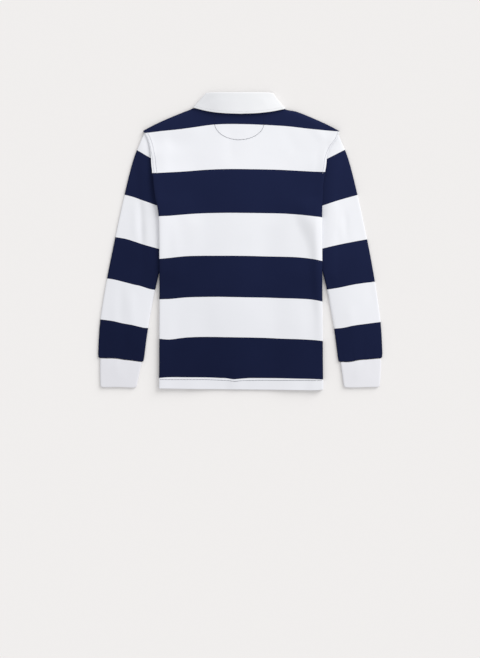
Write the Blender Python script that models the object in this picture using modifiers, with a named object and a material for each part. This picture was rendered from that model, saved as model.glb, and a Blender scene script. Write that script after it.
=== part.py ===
"""A child's long-sleeved striped polo shirt, laid flat on its front with its back upwards.

The frame: +X to the wearer's right, +Y from the hem to the collar, +Z up from the surface that it lies on.
All sizes below are millimetres. Heights run up the shirt from its hem, and x is counted from its centre line.

The body is wider than it shows. Its side seams are tucked in between the front and the back, as a gusset,
and the sleeve's underarm lies in that tuck. From the surface up, the layers at a side are the front, the
front's tucked-in strip, the sleeve's two plies, the back's tucked-in strip, and the back.
"""

import math
from collections import namedtuple

import bmesh
import bpy
from mathutils import Vector

MM = 0.001

# Cloth
WALL = 1.2  # heavy jersey
RIB_WALL = 1.8  # doubled rib knit of the cuffs
COLLAR_WALL = 1.4  # two plies of twill
CLEAR = 0.3  # between pieces that touch
PLY = WALL + CLEAR  # from the middle of one ply to the middle of the next

# The body's cut
NECK_POINT_HEIGHT = 596.0
SHOULDER_TIP_HEIGHT = 543.0
UNDERARM_HEIGHT = 342.0
HALF_SHOULDERS = 206.0
HALF_NECK = 86.0
HALF_CHEST = 235.0
HALF_HEM = 229.0
BACK_NECK_DROP = 11.5
FRONT_NECK_DROP = 75.0
LENGTH_SHOWN = 624.3  # hem to the top of the collar

# The half widths of back and front at the armhole, from the underarm to the shoulder tip
Armhole = namedtuple("Armhole", "height back front")
ARMHOLE = [
    Armhole(UNDERARM_HEIGHT, HALF_CHEST, HALF_CHEST),
    Armhole(360, 221.0, 219.0),
    Armhole(380, 208.5, 205.0),
    Armhole(405, 196.5, 192.0),
    Armhole(430, 189.5, 184.5),
    Armhole(455, 186.5, 181.5),
    Armhole(480, 187.0, 183.0),
    Armhole(500, 190.5, 187.5),
    Armhole(520, 196.5, 194.5),
    Armhole(SHOULDER_TIP_HEIGHT, HALF_SHOULDERS, HALF_SHOULDERS),
]

# The half width that shows, where the sides turn in
Shown = namedtuple("Shown", "height half")
SHOWN = [
    Shown(0, 172.8),
    Shown(160, 172.2),
    Shown(300, 172.2),
    Shown(362, 173.0),
    Shown(388, 174.0),
    Shown(418, 175.2),
    Shown(450, 178.0),
    Shown(477, 183.5),
    Shown(498, 191.0),
    Shown(518, 202.0),
    Shown(SHOULDER_TIP_HEIGHT, 224.0),
]
TURN_RADIUS = 1.4
TURN_LENGTH = math.pi * TURN_RADIUS
LEAST_TURN = 8.0  # the width of the outer columns where nothing is turned in

# How far each thing lifts the cloth above it, and over what width the cloth comes down beside it
TUCK_EDGE = 2 * TURN_RADIUS  # a tucked strip at its fold
TUCK_FLAT = 1.6  # and further in
TUCK_EASE = 14.0
TUCK_RAMP = 44.0
SLEEVE_PLIES = 1.6  # from the sleeve's lower ply to its upper one
SLEEVE_ROOM = 3.4
SLEEVE_RAMP = 37.0
LEAF_LIFT = 2.2  # the collar's leaves, under the front
LEAF_FOOT = 425.0
LEAF_SIDE = 103.0
LEAF_RAMP = 42.0
PLACKET_LIFT = 2.5
PLACKET_RAMP = 45.0
BODY_LOFT = 1.6  # air between front and back
YOKE_LOFT = 3.2
LOFT_RAMP = 34.0
SHOULDER_EASE = 12.0  # how far from the shoulder seam the back bends down to it

# Sleeves: the two folded edges of each, from the armhole to the cuff
Sleeve = namedtuple("Sleeve", "along outer_x outer_height inner_x inner_height")
SLEEVE = [
    Sleeve(0.00, 202.0, 541.0, 114.0, 342.0),
    Sleeve(0.08, 211.0, 521.0, 131.0, 331.0),
    Sleeve(0.22, 226.0, 480.0, 149.0, 309.0),
    Sleeve(0.36, 243.5, 409.6, 163.0, 277.0),
    Sleeve(0.52, 263.6, 318.0, 173.5, 240.0),
    Sleeve(0.68, 280.2, 231.0, 185.0, 188.0),
    Sleeve(0.84, 293.6, 144.0, 196.5, 122.0),
    Sleeve(0.96, 298.4, 79.0, 203.6, 68.5),
    Sleeve(1.00, 295.9, 64.0, 207.6, 57.5),
]

# The sleeve's end, which follows the armhole under the back
Cap = namedtuple("Cap", "height edge")
SLEEVE_CAP = [
    Cap(342, 114.0),
    Cap(362, 130.0),
    Cap(388, 148.5),
    Cap(418, 164.5),
    Cap(450, 173.0),
    Cap(477, 177.5),
    Cap(498, 182.5),
    Cap(518, 190.0),
    Cap(541, 202.0),
]
SLEEVE_LOFT = 2.6
SLEEVE_DROP = 30.0  # the width over which it comes down to the surface beside the body
SLEEVE_FREE_HEIGHT = 205.0  # below this the sleeve lies clear of the body
SLEEVE_HELD_HEIGHT = 252.0  # above this it lies between front and back

# Cuffs
CUFF_TOP = (295.0, 63.6, 208.5, 57.1)  # outer x and height, inner x and height
CUFF_END = (292.0, 4.2, 218.5, 4.2)
CUFF_PLIES = 2.5

# Placket and buttons
HALF_PLACKET = 15.0
PLACKET_LENGTH = 150.0
PLACKET_FOOT = NECK_POINT_HEIGHT - FRONT_NECK_DROP - PLACKET_LENGTH
UNDER_PLACKET_INSET = 2.0
BUTTON_RADIUS = 5.75
BUTTON_THICK = 1.9
BUTTON_ROUNDING = 0.35
BUTTON_FLOOR_GAP = 0.2
BUTTON_DROP = 14.0  # the first button below the neck
BUTTON_SPACING = 52.0
BUTTON_COUNT = 3

# The collar, from the centre of the back to its end at the centre of the front. The seam is where the stand
# joins the neck, the roll is its fold line, and the edge is the outer edge of the fall.
Collar = namedtuple("Collar", "seam_x seam_height roll_x roll_height edge_x edge_height stand_z fall_z")
COLLAR_BACK = [
    Collar(0.0, 585.4, 0.0, 623.6, 0.0, 579.0, 6.0, 8.4),
    Collar(36.0, 586.8, 33.0, 623.6, 36.0, 580.6, 6.0, 8.4),
    Collar(65.0, 592.2, 57.0, 623.0, 67.0, 584.6, 5.9, 8.4),
    Collar(82.0, 597.1, 68.0, 619.0, 95.5, 590.8, 5.5, 8.1),
]
COLLAR_FRONT = [
    Collar(82.6, 596.9, 69.0, 616.6, 96.0, 591.6, 3.0, 0.75),
    Collar(83.4, 588.0, 69.5, 610.0, 96.0, 584.0, 2.9, 0.75),
    Collar(80.2, 574.0, 66.0, 598.0, 93.0, 570.0, 2.9, 0.75),
    Collar(65.9, 549.5, 51.0, 575.0, 80.0, 541.0, 2.9, 0.75),
    Collar(39.1, 530.5, 28.0, 552.0, 66.0, 506.0, 3.2, 0.75),
    Collar(1.8, 522.2, 1.8, 535.5, 50.0, 470.0, 3.5, 0.75),
]
COLLAR_SHIFT = -2.0  # the fall lies a little to the left, as it was smoothed down

NAVY = (0.0116, 0.0160, 0.0513)
WHITE = (0.84, 0.85, 0.88)


# Curves and steps


def curve(places, values, at):
    """The value at a place, on a smooth curve through the values at the places given."""
    last = len(places) - 1
    at = min(max(at, places[0]), places[last])
    i = max(k for k in range(last) if places[k] <= at)

    def slope(k):
        before, after = max(k - 1, 0), min(k + 1, last)
        return (values[after] - values[before]) / (places[after] - places[before])

    span = places[i + 1] - places[i]
    t = (at - places[i]) / span
    return (
        values[i] * (2 * t**3 - 3 * t**2 + 1)
        + values[i + 1] * (3 * t**2 - 2 * t**3)
        + slope(i) * span * (t**3 - 2 * t**2 + t)
        + slope(i + 1) * span * (t**3 - t**2)
    )


def look_up(table, column, at):
    """A column's value at a place along the table's first column."""
    return curve([row[0] for row in table], [getattr(row, column) for row in table], at)


def between(table, share):
    """A row at a share from 0 to 1 of the way down the table."""
    numbers = range(len(table))
    return type(table[0])(*(curve(numbers, values, share * (len(table) - 1)) for values in zip(*table)))


def ease(low, high, x):
    """0 up to low, 1 from high, and a smooth step between them."""
    t = min(max((x - low) / (high - low), 0.0), 1.0)
    return t * t * (3 - 2 * t)


def mix(a, b, share):
    return a + (b - a) * share


def together(*lifts):
    """Lifts that lie side by side, joined smoothly: never lower than the highest of them."""
    return sum(max(lift, 0.0) ** 3 for lift in lifts) ** (1 / 3)


# The body's outline


def half_width(panel, height):
    if height < UNDERARM_HEIGHT:
        return mix(HALF_HEM, HALF_CHEST, height / UNDERARM_HEIGHT)
    return look_up(ARMHOLE, panel, height)


def turn_start(height):
    """Where the cloth starts to turn in at the side."""
    return look_up(SHOWN, "half", height) - TURN_RADIUS - WALL / 2


def turned(panel, height):
    """The width of cloth past the start of the turn, negative where the armhole lies short of it."""
    return half_width(panel, height) - turn_start(height)


def tuck_edge(panel, height):
    """How far in the tucked strip reaches."""
    return turn_start(height) - max(turned(panel, height) - TURN_LENGTH, 0.0)


def top_edge(panel, x):
    """The height of the neck and shoulder edge."""
    if x >= HALF_NECK:
        fall = (NECK_POINT_HEIGHT - SHOULDER_TIP_HEIGHT) / (HALF_SHOULDERS - HALF_NECK)
        return NECK_POINT_HEIGHT - fall * (x - HALF_NECK)
    if panel == "back":
        return NECK_POINT_HEIGHT - BACK_NECK_DROP * (1 - (x / HALF_NECK) ** 2.5)
    return NECK_POINT_HEIGHT - FRONT_NECK_DROP * math.sqrt(1 - (x / HALF_NECK) ** 2)


# How high each layer lies, at its middle


def tuck_lift(panel, x, height):
    """The room that a panel's tucked-in strip takes."""
    into = max(turn_start(height) - x, 0.0)
    room = TUCK_FLAT + (TUCK_EDGE - TUCK_FLAT) * math.exp(-((into / TUCK_EASE) ** 2))
    started = ease(-8.0, 2.5, turned(panel, height))
    edge = tuck_edge(panel, height)
    return room * started * ease(edge - 2 - TUCK_RAMP, edge - 2, x)


def sleeve_inside(height):
    """How far in the sleeve reaches under the body."""
    if height >= UNDERARM_HEIGHT:
        return look_up(SLEEVE_CAP, "edge", height)
    rows = [Cap(row.inner_height, row.inner_x) for row in reversed(SLEEVE)]
    return look_up(rows, "edge", height)


def sleeve_lift(x, height):
    """The room that the sleeve's two plies take between front and back."""
    edge = sleeve_inside(height)
    beside = ease(SLEEVE_FREE_HEIGHT, SLEEVE_HELD_HEIGHT, height)
    return SLEEVE_ROOM * beside * ease(edge - 5 - SLEEVE_RAMP, edge - 5, x)


def leaf_lift(x, height):
    """The room that the collar's leaves take under the front."""
    beside = ease(LEAF_SIDE, LEAF_SIDE + LEAF_RAMP, x)
    return LEAF_LIFT * ease(LEAF_FOOT, LEAF_FOOT + LEAF_RAMP, height) * (1 - beside)


def placket_share(x, height):
    """1 over the placket, and less beside and below it."""
    edge = HALF_PLACKET + 2
    return ease(PLACKET_FOOT - 40, PLACKET_FOOT - 4, height) * (1 - ease(edge, edge + PLACKET_RAMP, x))


def front_z(x, height):
    return WALL / 2 + mix(leaf_lift(x, height), PLACKET_LIFT, placket_share(x, height))


def front_tuck_z(x, height):
    return WALL / 2 + tuck_lift("front", x, height)


def back_tuck_z(x, height):
    return front_tuck_z(x, height) + sleeve_lift(x, height) + PLY


def back_z(x, height):
    """The back lies on whatever is under it, with some air between."""
    side = tuck_lift("front", x, height) + sleeve_lift(x, height) + tuck_lift("back", x, height)
    middle = mix(leaf_lift(x, height), PLACKET_LIFT + PLY, placket_share(x, height))
    loft = mix(BODY_LOFT, YOKE_LOFT, ease(UNDERARM_HEIGHT, NECK_POINT_HEIGHT - FRONT_NECK_DROP, height))
    loft *= ease(0, LOFT_RAMP, min(half_width("back", height), turn_start(height)) - x)
    short = min(max((top_edge("back", x) - height) / SHOULDER_EASE, 0.0), 1.0)
    round_over = math.sqrt(1 - (1 - short) ** 2)
    loft *= mix(1.0, round_over, ease(HALF_NECK - 26, HALF_NECK + 6, x))
    return WALL / 2 + PLY + together(side, middle, loft)


def sleeve_under_z(x, height):
    """The lower ply lies on the front's tucked edge, and comes down to the surface beside the body."""
    edge = min(half_width("front", height), turn_start(height) + TURN_RADIUS)
    lift = PLY + tuck_lift("front", min(x, turn_start(height)), height)
    beside = ease(SLEEVE_FREE_HEIGHT, SLEEVE_HELD_HEIGHT, height)
    return WALL / 2 + lift * beside * (1 - ease(edge + 8, edge + 8 + SLEEVE_DROP, x))


# Making cloth


def cloth(name, columns, rows, place, wall, color, cut=None):
    """A flat grid, moved point by point into place, and given its thickness by Solidify."""
    sheet = bmesh.new()
    bmesh.ops.create_grid(sheet, x_segments=columns, y_segments=rows, size=0.5)
    for point in sheet.verts:
        point.co = Vector(place(round((point.co.x + 0.5) * columns), round((point.co.y + 0.5) * rows)))
    if cut:
        spare = [face for face in sheet.faces if cut(face.calc_center_median())]
        bmesh.ops.delete(sheet, geom=spare, context="FACES")
    bmesh.ops.remove_doubles(sheet, verts=sheet.verts, dist=0.01)
    bmesh.ops.recalc_face_normals(sheet, faces=sheet.faces)
    for point in sheet.verts:
        point.co = (point.co - Vector((0, LENGTH_SHOWN / 2, 0))) * MM
    mesh = bpy.data.meshes.new(name)
    sheet.to_mesh(mesh)
    sheet.free()
    mesh.shade_smooth()
    mesh.materials.append(finish(name, color, 0.9))
    piece = bpy.data.objects.new(name, mesh)
    garment.objects.link(piece)
    thick = piece.modifiers.new("Thickness", "SOLIDIFY")
    thick.thickness = wall * MM
    thick.offset = 0
    return piece


def finish(name, color, roughness):
    material = bpy.data.materials.new(name)
    material.use_nodes = True
    shader = material.node_tree.nodes["Principled BSDF"]
    shader.inputs["Base Color"].default_value = (*color, 1)
    shader.inputs["Roughness"].default_value = roughness
    return material


# Front and back


def spread(*stretches):
    """Places from 0 to 1, as a stretch for each (end, number of steps)."""
    places, start = [0.0], 0.0
    for end, steps in stretches:
        places += [mix(start, end, (k + 1) / steps) for k in range(steps)]
        start = end
    return places


# The columns of one half of a panel, from its centre line to its side seam
NECK_COLUMNS = 6
SHOULDER_COLUMNS = 5
TURN_COLUMNS = 6
STRIP_COLUMNS = 5
FLAT_COLUMNS = 1 + NECK_COLUMNS + SHOULDER_COLUMNS
TURN_WIDTH = 5.2
PLACKET_ROW = PLACKET_FOOT * SHOULDER_TIP_HEIGHT / (NECK_POINT_HEIGHT - FRONT_NECK_DROP)
ROW_HEIGHTS = [0, 60, 130, 190, 235, 270, 300, 318, 331, UNDERARM_HEIGHT, 354, 369, PLACKET_ROW, 402, 420,
               437, 454, 471, 488, 505, 522, 534, SHOULDER_TIP_HEIGHT]


def cut_x(panel, column, height):
    """How far from the centre line a column lies on the flat panel."""
    reach = half_width(panel, height)
    bend = min(turn_start(height), reach - LEAST_TURN)
    placket = HALF_PLACKET + CLEAR
    if column <= 1:
        return placket * column
    if column <= 1 + NECK_COLUMNS:
        first = math.asin(placket / HALF_NECK)
        at_neck = HALF_NECK * math.sin(mix(first, math.pi / 2, (column - 1) / NECK_COLUMNS))
        squeeze = bend / (HALF_SHOULDERS - LEAST_TURN)
        return placket + (at_neck - placket) * squeeze
    if column <= FLAT_COLUMNS:
        neck = cut_x(panel, 1 + NECK_COLUMNS, height)
        return mix(neck, bend, (column - 1 - NECK_COLUMNS) / SHOULDER_COLUMNS)
    turn = min(TURN_WIDTH, 0.7 * (reach - bend))
    if column <= FLAT_COLUMNS + TURN_COLUMNS:
        return bend + turn * (column - FLAT_COLUMNS) / TURN_COLUMNS
    return mix(bend + turn, reach, (column - FLAT_COLUMNS - TURN_COLUMNS) / STRIP_COLUMNS)


def body_point(panel, column, row_height):
    """A point of the flat panel, folded at the side as the shirt lies."""
    side, column = (1 if column >= 0 else -1), abs(column)
    x = cut_x(panel, column, row_height)
    top = top_edge(panel, cut_x(panel, column, SHOULDER_TIP_HEIGHT))
    height = top * row_height / SHOULDER_TIP_HEIGHT
    flat_z, tuck_z = (back_z, back_tuck_z) if panel == "back" else (front_z, front_tuck_z)
    start = turn_start(row_height)
    if x <= start:
        return side * x, height, flat_z(x, height)
    past = x - start
    if past < TURN_LENGTH:
        angle = past / TURN_RADIUS
        down = (1 - math.cos(angle)) / 2
        z = mix(flat_z(start, height), tuck_z(start, height), down)
        return side * (start + TURN_RADIUS * math.sin(angle)), height, z
    x = start - (past - TURN_LENGTH)
    return side * x, height, tuck_z(x, height)


def body_panel(panel, cut=None):
    reach = FLAT_COLUMNS + TURN_COLUMNS + STRIP_COLUMNS

    def place(column, row):
        return body_point(panel, column - reach, ROW_HEIGHTS[row])

    return cloth(panel, 2 * reach, len(ROW_HEIGHTS) - 1, place, WALL, NAVY, cut)


# Sleeves and cuffs


def flat_ring(plan, under, over, steps):
    """One ring of a tube that lies flat: over the top to its inner edge, and back underneath."""
    nudge = 0.02

    def edge(at, inward):
        x, height = plan(at)
        near_x, near_height = plan(inward)
        out = Vector((x - near_x, height - near_height)).normalized()
        radius = (over(x, height) - under(x, height)) / 2
        return Vector((x, height)), out, radius

    outer, outer_out, outer_radius = edge(0.0, nudge)
    inner, inner_out, inner_radius = edge(1.0, 1 - nudge)
    width = (outer - inner).length
    shares = [mix(outer_radius / width, 1 - inner_radius / width, k / steps) for k in range(steps + 1)]
    ring = [(*plan(share), over(*plan(share))) for share in shares]
    for turn in (0.25, 0.5, 0.75):
        ring.append(turned_point(inner, inner_out, inner_radius, over, under, turn))
    ring += [(*plan(share), under(*plan(share))) for share in reversed(shares)]
    for turn in (0.75, 0.5, 0.25):
        ring.append(turned_point(outer, outer_out, outer_radius, over, under, turn))
    return ring


def turned_point(end, out, radius, over, under, turn):
    """A point of the rounded edge of a flat tube: turn runs from 0 on its upper ply to 1 on its lower one."""
    place = end - out * radius * (1 - math.sin(math.pi * turn))
    high, low = over(end.x, end.y), under(end.x, end.y)
    return place.x, place.y, mix(high, low, (1 - math.cos(math.pi * turn)) / 2)


def tube(name, rings, side, wall, color):
    count = len(rings[0])

    def place(column, row):
        x, height, z = rings[row][column % count]
        return side * x, height, z

    return cloth(name, count, len(rings) - 1, place, wall, color)


SLEEVE_STEPS = 9
CUFF_ROWS = 4
CUFF_EASE = 0.84  # from here on the sleeve flattens towards its cuff
SLEEVE_ROWS = spread((0.08, 2), (0.36, 4), (0.9, 6), (1.0, 3))


def sleeve_plan(along):
    """The line across the sleeve, from its outer edge to its inner one, at a place along it."""
    row = Sleeve(*(look_up(SLEEVE, column, along) for column in Sleeve._fields))
    cap_top, cap_foot = SLEEVE[0].outer_height, SLEEVE[0].inner_height

    def plan(across):
        x = mix(row.outer_x - WALL / 2, row.inner_x + WALL / 2, across)
        height = mix(row.outer_height, row.inner_height, across)
        cap_height = mix(cap_top, cap_foot, across)
        bulge = look_up(SLEEVE_CAP, "edge", cap_height) - mix(SLEEVE[0].outer_x, SLEEVE[0].inner_x, across)
        return x + bulge * (1 - along) ** 3, height

    return plan


def sleeve(name, side):
    rings = []
    for along in SLEEVE_ROWS:
        plan = sleeve_plan(along)
        outer_x, inner_x = plan(0)[0], plan(1)[0]

        def over(x, height):
            across = min(max((outer_x - x) / (outer_x - inner_x), 0.0), 1.0)
            edge = min(half_width("back", height), turn_start(height) + TURN_RADIUS)
            clear = ease(edge, edge + SLEEVE_DROP, x)
            free = max(clear, 1 - ease(SLEEVE_FREE_HEIGHT, SLEEVE_HELD_HEIGHT, height))
            loft = 1.0 + SLEEVE_LOFT * math.sin(math.pi * across) ** 0.7
            loft = mix(loft, CUFF_PLIES - SLEEVE_PLIES, ease(CUFF_EASE, 1.0, along))
            return sleeve_under_z(x, height) + SLEEVE_PLIES + loft * free

        rings.append(flat_ring(plan, sleeve_under_z, over, SLEEVE_STEPS))
    return tube(name, rings, side, WALL, NAVY)


def cuff(name, side):
    def over(x, height):
        return RIB_WALL / 2 + CUFF_PLIES

    def under(x, height):
        return RIB_WALL / 2

    rings = []
    for k in range(CUFF_ROWS + 1):
        ends = [mix(top, end, k / CUFF_ROWS) for top, end in zip(CUFF_TOP, CUFF_END)]

        def plan(across):
            outer_x, outer_height, inner_x, inner_height = ends
            x = mix(outer_x - RIB_WALL / 2, inner_x + RIB_WALL / 2, across)
            return x, mix(outer_height, inner_height, across)

        rings.append(flat_ring(plan, under, over, SLEEVE_STEPS))
    return tube(name, rings, side, RIB_WALL, WHITE)


# Collar

STAND_STEPS = 3
ROLL_STEPS = 5
FALL_STEPS = 5
CREASE_STEPS = 6
BACK_STEPS = 6
FRONT_STEPS = 8


def collar_section(row, side):
    """The points across the collar: up the stand, over the roll and down the fall."""
    seam = Vector((side * row.seam_x, row.seam_height))
    roll = Vector((side * row.roll_x + COLLAR_SHIFT, row.roll_height))
    edge = Vector((side * row.edge_x + COLLAR_SHIFT, row.edge_height))
    radius = abs(row.fall_z - row.stand_z) / 2
    up_stand, up_fall = (roll - seam).normalized(), (roll - edge).normalized()
    stand_top, fall_top = roll - up_stand * radius, roll - up_fall * radius
    outward = (up_stand + up_fall).normalized()
    points = []
    for k in range(STAND_STEPS):
        points.append((*seam.lerp(stand_top, k / STAND_STEPS), row.stand_z))
    for k in range(ROLL_STEPS + 1):
        angle = math.pi * k / ROLL_STEPS
        share = (1 - math.cos(angle)) / 2
        place = stand_top.lerp(fall_top, share) + outward * radius * math.sin(angle)
        points.append((*place, mix(row.stand_z, row.fall_z, share)))
    for k in range(1, FALL_STEPS + 1):
        points.append((*fall_top.lerp(edge, k / FALL_STEPS), row.fall_z))
    return points


def collar_half(side):
    """The sections of one half, from the centre of the back round the side of the neck to the front."""
    back = [collar_section(between(COLLAR_BACK, k / BACK_STEPS), side) for k in range(BACK_STEPS + 1)]
    front = [collar_section(between(COLLAR_FRONT, k / FRONT_STEPS), side) for k in range(FRONT_STEPS + 1)]
    fold = COLLAR_BACK[-1]
    along = Vector((fold.edge_x - fold.roll_x, fold.edge_height - fold.roll_height)).normalized()
    outward = Vector((-side * along.y, along.x))
    crease = []
    for k in range(1, CREASE_STEPS):
        angle = math.pi * k / CREASE_STEPS
        section = []
        for above, below in zip(back[-1], front[0]):
            x, height, z = Vector(above).lerp(Vector(below), (1 - math.cos(angle)) / 2)
            bulge = abs(above[2] - below[2]) / 2 * math.sin(angle)
            section.append((x + outward.x * bulge, height + outward.y * bulge, z))
        crease.append(section)
    return back + crease + front


def collar():
    sections = list(reversed(collar_half(-1)))[:-1] + collar_half(1)

    def place(column, row):
        return sections[column][row]

    return cloth("collar", len(sections) - 1, len(sections[0]) - 1, place, COLLAR_WALL, WHITE)


# Placket and buttons


def placket(name, half, level):
    """A strip that fills the front's slot, or that lies on the one which does."""
    columns, rows = 2, 10

    def place(column, row):
        x = mix(-half, half, column / columns)
        neck = top_edge("front", abs(x))
        height = mix(neck * PLACKET_ROW / SHOULDER_TIP_HEIGHT + CLEAR, neck - CLEAR, row / rows)
        return x, height, front_z(abs(x), height) + level

    return cloth(name, columns, rows, place, WALL, WHITE)


def button(number):
    height = NECK_POINT_HEIGHT - FRONT_NECK_DROP - BUTTON_DROP - number * BUTTON_SPACING
    bpy.ops.mesh.primitive_cylinder_add(
        vertices=16,
        radius=BUTTON_RADIUS * MM,
        depth=BUTTON_THICK * MM,
        location=(0, (height - LENGTH_SHOWN / 2) * MM, (BUTTON_FLOOR_GAP + BUTTON_THICK / 2) * MM),
    )
    piece = bpy.context.object
    piece.name = f"button_{number + 1}"
    for home in piece.users_collection:
        home.objects.unlink(piece)
    garment.objects.link(piece)
    piece.data.materials.append(finish(piece.name, WHITE, 0.5))
    rounding = piece.modifiers.new("Rounded rim", "BEVEL")
    rounding.width = BUTTON_ROUNDING * MM
    rounding.segments = 1
    rounding.limit_method = "ANGLE"
    return piece


def in_slot(middle):
    """Whether a face of the front lies in the slot that the placket fills."""
    return abs(middle.x) < HALF_PLACKET and middle.y > PLACKET_FOOT


for old in list(bpy.data.objects):
    bpy.data.objects.remove(old)
garment = bpy.data.collections.new("Polo shirt")
bpy.context.scene.collection.children.link(garment)

body_panel("back")
body_panel("front", in_slot)
sleeve("sleeve_left", -1)
sleeve("sleeve_right", 1)
cuff("cuff_left", -1)
cuff("cuff_right", 1)
collar()
placket("placket_over", HALF_PLACKET, 0.0)
placket("placket_under", HALF_PLACKET - UNDER_PLACKET_INSET, PLY)
for index in range(BUTTON_COUNT):
    button(index)
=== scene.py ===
import math
from bisect import bisect_right

import bmesh
import bpy
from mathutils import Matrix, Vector


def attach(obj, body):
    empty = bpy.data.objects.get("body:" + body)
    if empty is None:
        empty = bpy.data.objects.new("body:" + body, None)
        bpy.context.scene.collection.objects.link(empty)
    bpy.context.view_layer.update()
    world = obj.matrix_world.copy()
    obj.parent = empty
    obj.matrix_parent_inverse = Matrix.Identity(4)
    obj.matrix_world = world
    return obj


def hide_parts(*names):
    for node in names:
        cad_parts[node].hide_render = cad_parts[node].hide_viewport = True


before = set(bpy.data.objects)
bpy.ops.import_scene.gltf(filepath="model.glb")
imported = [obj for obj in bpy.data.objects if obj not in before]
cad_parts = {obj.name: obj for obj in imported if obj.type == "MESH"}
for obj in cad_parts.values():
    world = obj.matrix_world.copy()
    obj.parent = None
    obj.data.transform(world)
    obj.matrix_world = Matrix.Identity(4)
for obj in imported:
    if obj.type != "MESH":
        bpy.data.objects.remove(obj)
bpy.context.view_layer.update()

print("Frame loaded,", len(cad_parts), "CAD nodes")

# A boy's striped polo shirt, laid flat on its front and seen from the back. All lengths are millimetres:
# x from the centre line to the wearer's right, heights up from the hem, z up from the floor.
mm = 0.001

layers = {
    "hemToCollarTop": 624.3,
    "jersey": 1.0,       # wall of the heavy jersey
    "seamJersey": 1.4,   # where it is doubled, at hem and seams
    "floorPly": 0.55,    # middle of the lowest ply
    "ply": 1.5,          # from one ply to the next
    "turnRadius": 1.4,   # the fold at the body's sides
}


# Small helpers for shapes

def mix(a, b, share):
    return a + (b - a) * share


def ease(low, high, at):
    # from 0 at low to 1 at high, in either direction
    t = min(max((at - low) / (high - low), 0.0), 1.0)
    return t * t * (3 - 2 * t)


def between(span, at):
    # 0 on both sides and 1 in the middle, with a smooth step up and a smooth step down
    return ease(span[0], span[1], at) * (1 - ease(span[2], span[3], at))


def bump(at, middle, halfWidth):
    return math.exp(-((at - middle) / halfWidth) ** 2)


def smoothCurve(points):
    # a function that runs smoothly through the (place, value) points
    places = [point[0] for point in points]
    values = [point[1] for point in points]
    last = len(points) - 1
    slopes = []
    for k in range(last + 1):
        before, after = max(k - 1, 0), min(k + 1, last)
        slopes.append((values[after] - values[before]) / (places[after] - places[before]))

    def valueAt(at):
        at = min(max(at, places[0]), places[last])
        i = min(bisect_right(places, at) - 1, last - 1)
        span = places[i + 1] - places[i]
        t = (at - places[i]) / span
        return (values[i] * (2 * t**3 - 3 * t**2 + 1) + values[i + 1] * (3 * t**2 - 2 * t**3)
                + slopes[i] * span * (t**3 - 2 * t**2 + t) + slopes[i + 1] * span * (t**3 - t**2))

    return valueAt


def rowCurves(rows):
    # one smooth curve for each column after the first
    return [smoothCurve([(row[0], row[k]) for row in rows]) for k in range(1, len(rows[0]))]


def straightCurve(points):
    # straight between its points, and on past its ends
    def valueAt(at):
        i = 0
        while i < len(points) - 2 and at > points[i + 1][0]:
            i += 1
        (x0, y0), (x1, y1) = points[i], points[i + 1]
        return y0 + (y1 - y0) * (at - x0) / (x1 - x0)

    return valueAt


def creaseLift(creases, x, height):
    # soft folds: each runs from one point to another and fades at its ends
    total = 0.0
    for x0, h0, x1, h1, halfWidth, rise in creases:
        alongX, alongH = x1 - x0, h1 - h0
        length = math.hypot(alongX, alongH)
        t = ((x - x0) * alongX + (height - h0) * alongH) / length**2
        if not -0.3 < t < 1.3:
            continue
        off = ((x - x0) * alongH - (height - h0) * alongX) / length
        if abs(off) < 3 * halfWidth:
            total += rise * ease(-0.2, 0.3, t) * (1 - ease(0.7, 1.2, t)) * bump(off, 0, halfWidth)
    return total


def together(*lifts):
    return sum(max(lift, 0.0) ** 3 for lift in lifts) ** (1 / 3)


def stretches(*parts):
    # places from 0 on, as (end, number of steps) for each stretch
    places, start = [0.0], 0.0
    for end, steps in parts:
        places += [mix(start, end, (k + 1) / steps) for k in range(steps)]
        start = end
    return places


# Stripes. Each line is an edge between navy and white, as heights at a few places across the shirt.
bodyStripes = {
    "edges": [
        [(-204, 537.9), (-186, 540.1), (-168, 542.3), (-133, 545.7), (-100, 550.1), (-80, 553.2),
         (-62, 555.6), (-32, 557.2), (1, 557.1), (51, 555.4), (80, 553.8), (101, 552.3), (125, 549.5),
         (160, 545.6), (205, 541.6)],
        [(-186, 453.8), (-170, 454.2), (-150, 455.4), (-117, 457.6), (-83, 460.4), (-50, 462.0), (-16, 462.6),
         (18, 462.3), (51, 461.9), (85, 461.0), (119, 459.3), (150, 457.3), (171, 456.3)],
        [(-170, 363.1), (-150, 364.2), (-117, 367.2), (-83, 369.4), (-50, 370.2), (-16, 370.5),
         (18, 370.2), (51, 369.9), (85, 369.2), (119, 366.9), (150, 363.1), (171, 360.8)],
        [(-170, 274.0), (-150, 276.1), (-117, 279.6), (-83, 280.7), (-50, 280.7), (-16, 280.7),
         (18, 280.3), (51, 279.4), (85, 278.7), (119, 277.4), (150, 273.9), (171, 269.1)],
        [(-170, 189.3), (-150, 189.9), (-117, 193.0), (-83, 194.1), (-50, 194.4), (-16, 193.9),
         (18, 193.2), (51, 192.8), (85, 191.6), (119, 190.6), (150, 188.6), (171, 184.5)],
        [(-170, 106.3), (-150, 105.0), (-117, 109.0), (-83, 110.5), (-50, 110.3), (-16, 109.7),
         (18, 109.2), (51, 108.4), (85, 106.7), (119, 105.7), (150, 104.1), (171, 102.0)],
        [(-171, 24.3), (-150, 25.7), (-117, 25.5), (-66, 25.0), (-46, 24.1), (-30, 23.4), (-14, 21.1),
         (2, 22.7), (20, 23.8), (85, 23.4), (119, 22.6), (150, 22.0), (172, 21.1)],
    ],
    "firstColour": 0,    # even is navy, odd is white
    "band": 88.0,        # width of the stripes before the first edge and after the last
}
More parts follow.
